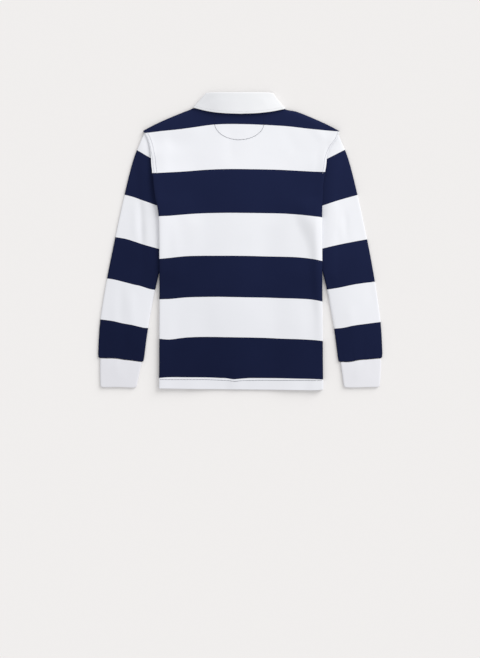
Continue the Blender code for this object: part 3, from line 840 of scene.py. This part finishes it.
def seamShare(panel, side, off, height):
    # 1 where the cloth is doubled, in the hem and along the armhole and the shoulder
    thin = layers["jersey"] / layers["seamJersey"]
    atHem = 1 - ease(bodyCut["hem"] - 0.5, bodyCut["hem"] + 0.8, height)
    atArmhole = ease(448, 458, height) * ease(8.2, 6.8, reach(panel, side, height) - off)
    return mix(thin, 1.0, max(atHem, atArmhole))


bodyRows = [0.0, 0.7, 1.8, 3.5, 6, 9, 12, 15, 17.3, 18.7, 19.6, 20.5, 21.7, 23.2, 25.5, 28.5, 32.5, 37]
for top, steps in ((bodyCut["slotFoot"], 78), (bodyCut["shoulderTip"], 50)):
    low = bodyRows[-1]
    bodyRows += [mix(low, top, (k + 1) / steps) for k in range(steps)]


def bodyPanel(panel, cut=None):
    tip, (bendLow, bendHigh) = bodyCut["shoulderTip"], bodyCut["rowBend"]
    tops = {}

    def place(column, row):
        side, column = (1 if column >= halfColumns else -1), abs(column - halfColumns)
        base = bodyRows[row]
        off = cutX(panel, side, column, base)
        if (side, column) not in tops:
            tops[side, column] = topEdge(panel, cutX(panel, side, column, tip))
        rise = (tops[side, column] - tip) * ease(bendLow, bendHigh, base)
        height = base + rise / ease(bendLow, bendHigh, tip)
        x, lowHeight, z = foldedSpot(panel, side * off, height)
        # in the part that is turned in, the stripes run on level
        shown = min(off, bodyCut["hemHalf"]) if height < bendLow else off
        count = bodyCount(side * shown, lowHeight)
        return x, lowHeight, z, seamShare(panel, side, off, base), count, side * off, height

    return makeCloth(panel + "_jersey", 2 * halfColumns, len(bodyRows) - 1, place, layers["seamJersey"],
                     cut=cut)


def inSlot(middle):
    above = (bodyCut["slotFoot"] - layers["hemToCollarTop"] / 2) * mm
    return abs(middle.x) < bodyCut["slotHalf"] * mm and middle.y > above


back = bodyPanel("back")
front = bodyPanel("front", inSlot)
for panel in (back, front):
    panel.data.materials.append(jerseyMaterial)
print("Back and front laid")


# Sleeves and cuffs, as tubes that lie flat

def sleeveUnderZ(side, x, height):
    start = turnStart(side, height)
    edge = min(reach("front", side, height), start + layers["turnRadius"])
    lift = layers["ply"] + tuckLift("front", side, min(x, start), height)
    lift += seamRise(height) * ease(start - 30, start - 12, x)
    beside = ease(sleeveCut["freeBelow"], sleeveCut["heldAbove"], height)
    seam = 0.2 * ease(78, 68, height)
    return layers["floorPly"] + seam + lift * beside * (1 - ease(edge + 8, edge + 8 + sleeveCut["drop"], x))


def turnedPoint(end, out, radius, high, low, turn):
    # a point of the half circle that joins the upper ply to the lower one
    place = end - out * radius * (1 - math.sin(math.pi * turn))
    return place.x, place.y, mix(high, low, (1 - math.cos(math.pi * turn)) / 2)


def flatRing(plan, under, over, steps, turns=7, foldLength=4.0):
    # over the top from the outer fold to the inner one, and back underneath
    def edgeOf(at, inward):
        end, near = Vector(plan(at)), Vector(plan(inward))
        high, low = over(at, *end), under(at, *end)
        return end, (end - near).normalized(), (high - low) / 2, high, low

    outer, inner = edgeOf(0.0, 0.02), edgeOf(1.0, 0.98)
    width = (outer[0] - inner[0]).length
    shares = [mix(outer[2] / width, 1 - inner[2] / width, k / steps) for k in range(steps + 1)]
    ring = [(*plan(share), over(share, *plan(share)), share * width) for share in shares]
    for k in range(1, turns + 1):
        ring.append((*turnedPoint(*inner, k / (turns + 1)), width + foldLength * k / (turns + 1)))
    for share in reversed(shares):
        ring.append((*plan(share), under(share, *plan(share)), 2 * width - share * width + foldLength))
    for k in range(turns, 0, -1):
        onCloth = 2 * width + 2 * foldLength - foldLength * k / (turns + 1)
        ring.append((*turnedPoint(*outer, k / (turns + 1)), onCloth))
    return ring


def ringSpot(rings, column, row):
    # the last column closes the tube, and the cloth is counted on over it
    ring = rings[row]
    x, height, z, across = ring[column % len(ring)]
    if column == len(ring):
        across = ring[0][3] + ring[-1][3]
    return x, height, z, across


def cornerInset(toEnd, radius):
    # how far a round corner draws in the side, at this distance from the end
    return radius * (1 - math.sqrt(1 - (1 - toEnd / radius) ** 2)) if toEnd < radius else 0.0


# the seam between sleeve and cuff doesn't run straight: rise, and middle and half width as shares of the cuff
seamBows = {-1: [(2.2, 0.36, 0.24), (0.8, 0.74, 0.14)], 1: [(0.3, 0.52, 0.12), (-1.9, 0.79, 0.15)]}


def cuffSeamWave(side, across):
    return sum(rise * bump(across, middle, halfWidth) for rise, middle, halfWidth in seamBows[side])


def sleevePlan(side, along):
    outerX, outerHeight, innerX, innerHeight = [edge(along) for edge in sleeveEdges]
    outerX -= side * sleeveCut["lean"] * ease(0.5, 0.9, along)
    capOuter, capTop, capInner, capFoot = sleeveCut["edges"][0][1:]
    corner = cornerInset((1 - along) * sleeveCut["length"], sleeveCut["cornerRadius"])
    halfWall = layers["jersey"] / 2

    def plan(across):
        x = mix(outerX - halfWall - corner, innerX + halfWall + corner * 0.9, across)
        height = mix(outerHeight, innerHeight, across)
        bulge = capEdge(mix(capTop, capFoot, across)) - mix(capOuter, capInner, across)
        return x + bulge * (1 - along) ** 3, height + cuffSeamWave(side, across) * ease(0.95, 1.0, along)

    return plan


def gatherWaves(side, across):
    first = math.sin(across * 31.0 + (0.9 if side < 0 else 2.3) + 1.4 * math.sin(across * 5.0))
    return (0.6 * first + 0.4 * math.sin(across * 52.0 + side * 1.3)) * math.sin(math.pi * across) ** 0.5


def makeSleeve(name, side):
    rings = []
    alongs = stretches(*sleeveCut["rows"])
    for along in alongs:
        plan = sleevePlan(side, along)
        gathered = ease(0.90, 0.985, along)

        def under(across, x, height):
            return sleeveUnderZ(side, x, height)

        def over(across, x, height):
            edge = visibleEdge(side, height)
            clear = ease(edge, edge + sleeveCut["drop"], x)
            free = max(clear, 1 - ease(sleeveCut["freeBelow"], sleeveCut["heldAbove"], height))
            loft = 1.0 + sleeveCut["loft"] * math.sin(math.pi * across ** sleeveCut["skew"]) ** 0.7
            loft = mix(loft, 1.3, ease(0.84, 1.0, along))
            waves = sleeveCut["gather"] * gatherWaves(side, across) * gathered
            seam = -0.35 * ease(0.985, 1.0, along)
            creases = creaseLift(sleeveCut["creases"][side], side * x, height)
            relief = waves + seam + creases * math.sin(math.pi * across) ** 0.4
            return sleeveUnderZ(side, x, height) + sleeveCut["plies"] + loft * free + relief * free

        rings.append(flatRing(plan, under, over, sleeveCut["steps"]))

    def place(column, row):
        x, height, z, across = ringSpot(rings, column, row)
        share = mix(layers["jersey"] / layers["seamJersey"], 1.0, ease(0.985, 0.99, alongs[row]))
        count = sleeveCount[side](side * x, height)
        return side * x, height, z, share, count, across, alongs[row] * sleeveCut["length"]

    piece = makeCloth(name, len(rings[0]), len(rings) - 1, place, layers["seamJersey"])
    piece.data.materials.append(jerseyMaterial)
    return piece


cuffCut = {
    "length": 59,
    "wall": 1.8,
    "plies": 2.5,
    # outer x and height, inner x and height, at the seam and at the open end, left and right
    "seam": {-1: (296.1, 65.1, 208.6, 57.5), 1: (294.8, 65.1, 209.0, 57.5)},
    "end": {-1: (295.4, 5.2, 220.0, 4.4), 1: (291.4, 4.9, 216.4, 4.9)},
    "belly": 0.7,        # its outer side is a little rounded
    "swell": 0.9,
    "gather": 0.22,
    "cornerRadius": 4.6,
    "steps": 34,
    "rows": 30,
    "creases": {
        -1: [(-262, 58, -259, 26, 8, 0.30), (-236, 60, -240, 22, 7, -0.25)],
        1: [(246, 58, 242, 24, 8, 0.28), (272, 60, 274, 30, 6, -0.22)],
    },
}


def makeCuff(name, side):
    rings = []
    wall, length = cuffCut["wall"], cuffCut["length"]
    for row in range(cuffCut["rows"] + 1):
        share = row / cuffCut["rows"]
        share = share + 0.10 * math.sin(2 * math.pi * share) / math.pi   # closer together at both ends
        outerX, outerHeight, innerX, innerHeight = [
            mix(a, b, share) for a, b in zip(cuffCut["seam"][side], cuffCut["end"][side])]
        toEnd = (1 - share) * length
        inset = wall / 2 + cornerInset(toEnd, cuffCut["cornerRadius"]) * 0.8
        belly = cuffCut["belly"] * math.sin(math.pi * share)

        def plan(across):
            wave = cuffSeamWave(side, across) * ease(20, 0, share * length)
            wave += 0.5 * math.sin(across * 5.0 + side) * ease(12, 0, toEnd)
            x = mix(outerX - inset + belly, innerX + inset, across)
            return x, mix(outerHeight, innerHeight, across) + wave

        def under(across, x, height):
            return wall / 2

        def over(across, x, height):
            full = math.sin(math.pi * across)
            swell = cuffCut["swell"] * full ** 0.8 * math.sin(math.pi * min(share * 0.8 + 0.2, 1.0))
            creases = creaseLift(cuffCut["creases"][side], side * x, height) * full ** 0.5
            gather = cuffCut["gather"] * gatherWaves(side, across) * ease(14, 0, share * length)
            return wall / 2 + cuffCut["plies"] + swell + creases + gather

        rings.append(flatRing(plan, under, over, cuffCut["steps"]))

    def place(column, row):
        x, height, z, across = ringSpot(rings, column, row)
        return side * x, height, z, 1.0, 0.0, across, row / cuffCut["rows"] * length

    piece = makeCloth(name, len(rings[0]), cuffCut["rows"], place, wall, rounding=0.6)
    piece.data.materials.append(ribMaterial)
    return piece


sleeveLeft = makeSleeve("sleeve_left_jersey", -1)
sleeveRight = makeSleeve("sleeve_right_jersey", 1)
cuffLeft = makeCuff("cuff_left_rib", -1)
cuffRight = makeCuff("cuff_right_rib", 1)
print("Sleeves and cuffs laid")


# The collar: stand, roll and fall in one strip, creased at the sides of the neck
collarCut = {
    "wall": 1.4,
    "shift": -2.0,
    # x and height of its seam, of its roll and of its edge, z of the stand, and of the fall at roll and edge
    "back": [
        (0.0, 585.4, 0.0, 623.2, 0.0, 578.4, 6.0, 9.6, 12.0),
        (36.0, 586.8, 33.0, 623.3, 36.0, 579.8, 6.0, 9.5, 11.7),
        (65.0, 592.2, 59.0, 622.9, 67.0, 583.8, 5.9, 9.0, 10.4),
        (82.0, 597.1, 69.0, 621.0, 95.5, 590.8, 5.5, 8.2, 8.6),
    ],
    "front": [
        (82.6, 596.9, 69.0, 616.6, 96.0, 591.6, 3.0, 1.28, 1.26),
        (83.4, 588.0, 69.5, 610.0, 96.0, 584.0, 2.9, 1.28, 1.26),
        (80.2, 574.0, 66.0, 598.0, 93.0, 570.0, 2.9, 1.28, 1.26),
        (65.9, 549.5, 51.0, 575.0, 80.0, 541.0, 2.9, 1.28, 1.26),
        (39.1, 530.5, 28.0, 552.0, 66.0, 506.0, 3.2, 1.28, 1.26),
        (1.8, 522.2, 1.8, 535.5, 50.0, 470.0, 3.5, 1.28, 1.26),
    ],
    # how its two ends over the shoulders differ: the right one hangs lower
    "bend": {-1: 0.0, 1: -0.8},
    "top": {-1: (-0.9, 0.8), 1: (-1.0, 0.4)},
    "tip": {-1: (-0.9, 0.4), 1: (-3.1, -2.4)},
    "foldBulge": 0.55,
    "standSteps": 8,
    "rollSteps": 9,
    "fallSteps": 16,
    "creaseSteps": 10,
    "backSteps": 26,
    "frontSteps": 26,
    "creases": [
        (-50, 621, -88, 592, 4.0, -0.80),
        (84, 620, 102, 592, 18.0, 0.90),
        (-38, 612, -56, 588, 9, 0.40),
        (42, 616, 60, 588, 10, 0.45),
        (4, 620, 0, 582, 15, -0.35),
        (66, 618, 86, 592, 4.5, -0.45),
    ],
}


def collarRow(table, share):
    curves = rowCurves([(k, *row) for k, row in enumerate(table)])
    return [curve(share * (len(table) - 1)) for curve in curves]


def collarSection(row, side, showing, near):
    # near is 1 at the crease over the shoulder, 0 well away from it
    seamX, seamHeight, rollX, rollHeight, edgeX, edgeHeight, standZ, rollZ, edgeZ = row
    seam = Vector((side * seamX, seamHeight - neckSlump(side * seamX, 600)))
    roll = Vector((side * rollX + collarCut["shift"], rollHeight)) + Vector(collarCut["top"][side]) * near
    edge = Vector((side * edgeX + collarCut["shift"], edgeHeight)) + Vector(collarCut["tip"][side]) * near
    radius = abs(rollZ - standZ) / 2
    upStand, upFall = (roll - seam).normalized(), (roll - edge).normalized()
    standTop, fallTop = roll - upStand * radius, roll - upFall * radius
    outward = (upStand + upFall).normalized()
    points, strip = [], 0.0
    for k in range(collarCut["standSteps"]):
        points.append((*seam.lerp(standTop, k / collarCut["standSteps"]), standZ))
    for k in range(collarCut["rollSteps"] + 1):
        angle = math.pi * k / collarCut["rollSteps"]
        share = (1 - math.cos(angle)) / 2
        spot = standTop.lerp(fallTop, share) + outward * radius * math.sin(angle) ** 0.7
        points.append((*spot, mix(standZ, rollZ, share)))
    for k in range(1, collarCut["fallSteps"] + 1):
        share = k / collarCut["fallSteps"]
        x, height = fallTop.lerp(edge, share)
        x += collarCut["bend"][side] * near * math.sin(math.pi * share)
        z = mix(rollZ, edgeZ, share)
        if showing:
            z += creaseLift(collarCut["creases"], x, height) * math.sin(math.pi * min(share, 0.5))
        points.append((x, height, z))
    return points


def collarHalf(side):
    backShares = [k / collarCut["backSteps"] for k in range(collarCut["backSteps"] + 1)]
    frontShares = [k / collarCut["frontSteps"] for k in range(collarCut["frontSteps"] + 1)]
    backPart = [collarSection(collarRow(collarCut["back"], share), side, True, share**4)
                for share in backShares]
    frontPart = [collarSection(collarRow(collarCut["front"], share), side, False, (1 - share) ** 6)
                 for share in frontShares]
    fold = collarCut["back"][-1]
    along = Vector((fold[4] - fold[2], fold[5] - fold[3])).normalized()
    outward = Vector((-side * along.y, along.x))
    crease = []
    for k in range(1, collarCut["creaseSteps"]):
        angle = math.pi * k / collarCut["creaseSteps"]
        section = []
        for above, below in zip(backPart[-1], frontPart[0]):
            x, height, z = Vector(above).lerp(Vector(below), (1 - math.cos(angle)) / 2)
            bulge = collarCut["foldBulge"] * abs(above[2] - below[2]) / 2 * math.sin(angle) ** 0.5
            section.append((x + outward.x * bulge, height + outward.y * bulge, z))
        crease.append(section)
    return backPart + crease + frontPart


def makeCollar():
    sections = list(reversed(collarHalf(-1)))[:-1] + collarHalf(1)
    lengths, along = [0.0], 0.0
    for before, after in zip(sections, sections[1:]):
        along += (Vector(after[-1]) - Vector(before[-1])).length
        lengths.append(along)

    def place(column, row):
        section = sections[column]
        across = sum((Vector(section[k + 1]) - Vector(section[k])).length for k in range(row))
        x, height, z = section[row]
        return x, height, z, 1.0, 0.0, lengths[column], across

    piece = makeCloth("collar_twill", len(sections) - 1, len(sections[0]) - 1, place, collarCut["wall"],
                      rounding=0.5)
    piece.data.materials.append(twillMaterial)
    return piece, sections


collar, collarSections = makeCollar()
print("Collar folded")


# Placket strips and buttons, under the shirt as it lies
placketCut = {"half": 15.0, "inset": 2.0, "wall": 1.0, "clear": 0.3, "ripple": 0.12, "rippleLength": 17.0,
              "columns": 8, "rows": 44}


def makePlacket(name, half, level):
    def place(column, row):
        x = mix(-half, half, column / placketCut["columns"])
        top = topEdge("front", x) - placketCut["clear"]
        height = mix(bodyCut["slotFoot"] + placketCut["clear"], top, row / placketCut["rows"])
        ripple = placketCut["ripple"] * math.sin(height / placketCut["rippleLength"])
        z = frontZ(x, height) + level + ripple * math.sin(math.pi * column / placketCut["columns"])
        return x, height, z, 1.0, 0.0, x, height

    piece = makeCloth(name, placketCut["columns"], placketCut["rows"], place, placketCut["wall"])
    piece.data.materials.append(twillMaterial)
    return piece


placketOver = makePlacket("placket_over_twill", placketCut["half"], 0.0)
placketUnder = makePlacket("placket_under_twill", placketCut["half"] - placketCut["inset"], layers["ply"])

buttonCut = {"radius": 5.75, "thick": 1.9, "floorGap": 0.2, "firstDrop": 14.0, "spacing": 52.0, "rim": 1.2,
             "slope": 0.5, "dish": 0.45, "edge": 0.25, "hole": 0.75, "holeOff": 1.35, "drill": 6.0}
buttonResin = makeButtonResin()


def makeButton(number):
    neckFoot = bodyCut["neckPoint"] - bodyCut["frontNeckDrop"]
    height = neckFoot - buttonCut["firstDrop"] - number * buttonCut["spacing"]
    middle = toMetres(0, height, buttonCut["floorGap"] + buttonCut["thick"] / 2)
    deselectAll()
    bpy.ops.mesh.primitive_cylinder_add(vertices=48, radius=buttonCut["radius"] * mm,
                                        depth=buttonCut["thick"] * mm, location=middle)
    piece = bpy.context.object
    piece.name = "button_%d_resin" % (number + 1)
    bpy.ops.object.transform_apply(location=True, rotation=True, scale=True)
    for face in piece.data.polygons:
        face.select = face.normal.z < -0.9   # the face that looks out from the front of the shirt
    for edge in piece.data.edges:
        edge.select = False
    for vertex in piece.data.vertices:
        vertex.select = False
    bpy.ops.object.mode_set(mode="EDIT")
    bpy.ops.mesh.select_mode(type="FACE")
    bpy.ops.mesh.inset(thickness=buttonCut["rim"] * mm, depth=0)
    bpy.ops.mesh.inset(thickness=buttonCut["slope"] * mm, depth=-buttonCut["dish"] * mm)
    bpy.ops.object.mode_set(mode="OBJECT")
    drills = []
    for stepX in (-1, 1):
        for stepY in (-1, 1):
            deselectAll()
            off = Vector((stepX, stepY, 0)) * buttonCut["holeOff"] * mm
            bpy.ops.mesh.primitive_cylinder_add(vertices=16, radius=buttonCut["hole"] * mm,
                                                depth=buttonCut["drill"] * mm, location=middle + off)
            drills.append(bpy.context.object)
    for drill in drills:
        holes = piece.modifiers.new("Hole", "BOOLEAN")
        holes.operation = "DIFFERENCE"
        holes.solver = "EXACT"
        holes.object = drill
    edges = piece.modifiers.new("Polished edges", "BEVEL")
    edges.width = buttonCut["edge"] * mm
    edges.segments = 3
    edges.limit_method = "ANGLE"
    edges.angle_limit = math.radians(35)
    applyModifiers(piece)
    for drill in drills:
        bpy.data.objects.remove(drill)
    bpy.ops.object.shade_smooth_by_angle(angle=math.radians(40))
    piece.data.materials.append(buttonResin)
    return piece, middle


buttons = [makeButton(number) for number in range(3)]
print("Placket and buttons made")


# Stitching: one small stitch, copied along each seam
stitchCut = {"sides": 8, "rings": 5, "sunk": 0.25}   # sunk is the share of it that lies in the cloth


def stitchShape(length, radius):
    deselectAll()
    bpy.ops.mesh.primitive_uv_sphere_add(segments=stitchCut["sides"], ring_count=stitchCut["rings"], radius=1)
    shape = bpy.context.object
    points = [(vertex.co.z * length / 2, vertex.co.x * radius, vertex.co.y * radius)
              for vertex in shape.data.vertices]
    faces = [tuple(face.vertices) for face in shape.data.polygons]
    bpy.data.objects.remove(shape)
    return points, faces


def sewAlong(name, runs, sewing, thread):
    # runs are lists of (point, outward) in millimetres
    pitch, radius = sewing["pitch"], sewing["radius"]
    shapePoints, shapeFaces = stitchShape(sewing["length"], radius)
    points, faces = [], []
    for run in runs:
        travelled, wanted = 0.0, pitch / 2
        for (start, outA), (end, outB) in zip(run, run[1:]):
            span = (end - start).length
            while span > 0 and wanted <= travelled + span:
                t = (wanted - travelled) / span
                along = (end - start).normalized()
                up = outA.lerp(outB, t)
                up = (up - along * up.dot(along)).normalized()
                aside = up.cross(along)
                middle = start.lerp(end, t) + up * (radius * (1 - 2 * stitchCut["sunk"]))
                first = len(points)
                for lengthwise, across, high in shapePoints:
                    spot = middle + along * lengthwise + aside * across + up * high
                    points.append(toMetres(*spot))
                faces += [tuple(first + corner for corner in face) for face in shapeFaces]
                wanted += pitch
            travelled += span
    mesh = bpy.data.meshes.new(name)
    mesh.from_pydata(points, [], faces)
    piece = bpy.data.objects.new(name, mesh)
    bpy.context.scene.collection.objects.link(piece)
    deselectAll()
    piece.select_set(True)
    bpy.context.view_layer.objects.active = piece
    bpy.ops.object.mode_set(mode="EDIT")
    bpy.ops.mesh.select_all(action="SELECT")
    bpy.ops.mesh.normals_make_consistent(inside=False)
    bpy.ops.object.mode_set(mode="OBJECT")
    bpy.ops.object.shade_smooth()
    mesh.materials.append(thread)
    return piece


def onPanel(panel, clothX, height, wall):
    # a point on the outer face of the panel, and the way that it faces
    spot = Vector(foldedSpot(panel, clothX, height))
    across = Vector(foldedSpot(panel, clothX + 0.4, height)) - Vector(foldedSpot(panel, clothX - 0.4, height))
    upward = Vector(foldedSpot(panel, clothX, height + 0.6)) - Vector(foldedSpot(panel, clothX, height - 0.6))
    out = across.cross(upward).normalized()
    if panel == "front":
        out = -out
    return spot + out * wall / 2, out


hemSewing = {"reach": 169.6, "dip": 1.6, "dipAt": -13, "dipWidth": 10, "steps": 230,
             "length": 2.8, "pitch": 3.1, "radius": 0.45}
halfMoon = {"middle": -3.6, "halfWidth": 51.9, "foot": 524.5, "spring": 560.0, "top": 582.0,
            "length": 2.5, "pitch": 3.0, "radius": 0.42}
# rows along the armhole: distance from the cut edge below and at the shoulder
armholeSewing = {"rows": {-1: [(3.8, 1.6), (9.8, 7.4)], 1: [(4.8, 2.6)]}, "bend": (478, 502), "from": 452,
                 "to": 541, "steps": 60, "length": 2.6, "pitch": 3.2, "radius": 0.36}
# how far the hem's row wanders, where it shows: x, rise
hemDrift = smoothCurve([(-170, -0.8), (-136, -0.5), (-105, 0.0), (-73, 0.3), (-46, -0.6), (-29, -1.1),
                        (10, -0.9), (42, 0.0), (84, 0.1), (126, 0.8), (151, 0.8), (170, 0.2)])


def hemRun(panel):
    far, steps = hemSewing["reach"], hemSewing["steps"]
    places = [mix(-far, far, k / steps) for k in range(steps + 1)]
    shown = 1.0 if panel == "back" else 0.0
    run = []
    for x in places:
        dip = hemSewing["dip"] * bump(x, hemSewing["dipAt"], hemSewing["dipWidth"])
        run.append(onPanel(panel, x, bodyCut["hem"] + shown * (hemDrift(x) - dip), layers["jersey"]))
    return run


def halfMoonRun():
    middle, half = halfMoon["middle"], halfMoon["halfWidth"]
    top, spring, foot = halfMoon["top"], halfMoon["spring"], halfMoon["foot"]
    run = [(middle - half, mix(top, spring, k / 12)) for k in range(13)]
    for k in range(1, 60):
        angle = math.pi * k / 60
        run.append((middle - half * math.cos(angle), spring - (spring - foot) * math.sin(angle)))
    run += [(middle + half, mix(spring, top, k / 12)) for k in range(13)]
    return [onPanel("back", x, height, layers["jersey"]) for x, height in run]


def armholeRun(panel, side, low, high):
    run = []
    for k in range(armholeSewing["steps"] + 1):
        height = mix(armholeSewing["from"], armholeSewing["to"], k / armholeSewing["steps"])
        off = reach(panel, side, height) - mix(low, high, ease(*armholeSewing["bend"], height))
        run.append(onPanel(panel, side * off, height, layers["seamJersey"]))
    return run


hemStitch = sewAlong("hem_stitch", [hemRun("back"), hemRun("front")], hemSewing, navyThread)
neckStitch = sewAlong("half_moon_stitch", [halfMoonRun()], halfMoon, navyThread)
armholeRuns = [armholeRun(panel, side, *row)
               for panel in ("back", "front") for side in (-1, 1) for row in armholeSewing["rows"][side]]
# armhole rows in the white thread with painted groove shade
armholeStitch = sewAlong("armhole_stitch", armholeRuns, armholeSewing, whiteThreadPaintedShade)

collarSewing = {"inset": 5.0, "length": 2.2, "pitch": 2.8, "radius": 0.27}


def collarRun():
    run = []
    last = len(collarSections) - 1
    for k, section in enumerate(collarSections):
        edge, inner, middle = [Vector(section[at]) for at in (-1, -2, -collarCut["fallSteps"] // 2)]
        spot = edge.lerp(middle, collarSewing["inset"] / (edge - middle).length)
        along = Vector(collarSections[min(k + 1, last)][-1]) - Vector(collarSections[max(k - 1, 0)][-1])
        out = along.cross(inner - edge).normalized()
        run.append((spot + out * collarCut["wall"] / 2, out))
    return run


collarStitch = sewAlong("collar_stitch", [collarRun()], collarSewing, whiteThread)

# two threads across each button, from hole to hole and a little past them
buttonSewing = {"past": 0.9, "length": 3.4, "pitch": 4.5, "radius": 0.3}
buttonThreads = []
for piece, middle in buttons:
    place = Vector((middle.x / mm, middle.y / mm + layers["hemToCollarTop"] / 2, 0))
    low = buttonCut["floorGap"] + buttonCut["dish"]
    off, past = buttonCut["holeOff"], buttonSewing["past"]
    for stepX in (-1, 1):
        start = Vector((place.x + stepX * off, place.y - off - past, low))
        end = Vector((place.x + stepX * off, place.y + off + past, low))
        buttonThreads.append([(start, Vector((0, 0, -1))), (end, Vector((0, 0, -1)))])
buttonThread = sewAlong("button_thread", buttonThreads, buttonSewing, whiteThread)
print("Seams sewn")


# Handing the pieces to the frame
handIn = [
    (back, ["back"], "striped_jersey"),
    (front, ["front"], "striped_jersey"),
    (sleeveLeft, ["sleeve_left"], "striped_jersey"),
    (sleeveRight, ["sleeve_right"], "striped_jersey"),
    (cuffLeft, ["cuff_left"], "rib_knit"),
    (cuffRight, ["cuff_right"], "rib_knit"),
    (collar, ["collar"], "white_twill"),
    (placketOver, ["placket_over"], "white_twill"),
    (placketUnder, ["placket_under"], "white_twill"),
    (buttons[0][0], ["button_1"], "button"),
    (buttons[1][0], ["button_2"], "button"),
    (buttons[2][0], ["button_3"], "button"),
    (hemStitch, [], "striped_jersey"),
    (neckStitch, [], "striped_jersey"),
    (armholeStitch, [], "striped_jersey"),
    (collarStitch, [], "white_twill"),
    (buttonThread, [], "white_twill"),
]
for piece, nodes, slotName in handIn:
    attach(piece, "root")
    if nodes:
        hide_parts(*nodes)

print("Pieces handed to the frame")


# Floor, light and camera
deselectAll()
bpy.ops.mesh.primitive_plane_add(size=60.0)
floor = bpy.context.object
floor.name = "floor"
floor.data.materials.append(makeFloorPaper())

studio = {
    "keyFrom": (0.63, 0.65, 0.42),   # low, from the top right of the picture
    "keyStrength": 2.15,
    "keySoftness": 38.0,             # the light's width, in degrees
    "sky": 0.83,
    "cameraAt": (-0.0021, -0.185, 3.0),
    "lens": 78.0,
}
world = bpy.data.worlds.new("Soft studio")
bpy.context.scene.world = world
world.use_nodes = True
backdrop = world.node_tree.nodes["Background"]
backdrop.inputs["Color"].default_value = (1.0, 1.0, 1.0, 1)
backdrop.inputs["Strength"].default_value = studio["sky"]

bpy.ops.object.light_add(type="SUN", location=(0.6, 1.2, 1.5))
key = bpy.context.object
key.name = "Key light"
key.data.energy = studio["keyStrength"]
key.data.angle = math.radians(studio["keySoftness"])
key.rotation_euler = Vector(studio["keyFrom"]).to_track_quat("Z", "Y").to_euler()

bpy.ops.object.camera_add(location=studio["cameraAt"], rotation=(0, 0, 0))
camera = bpy.context.object
camera.data.lens = studio["lens"]
camera.data.sensor_width = 36
bpy.context.scene.camera = camera
bpy.context.scene.view_settings.view_transform = "Standard"
print("Studio set up")
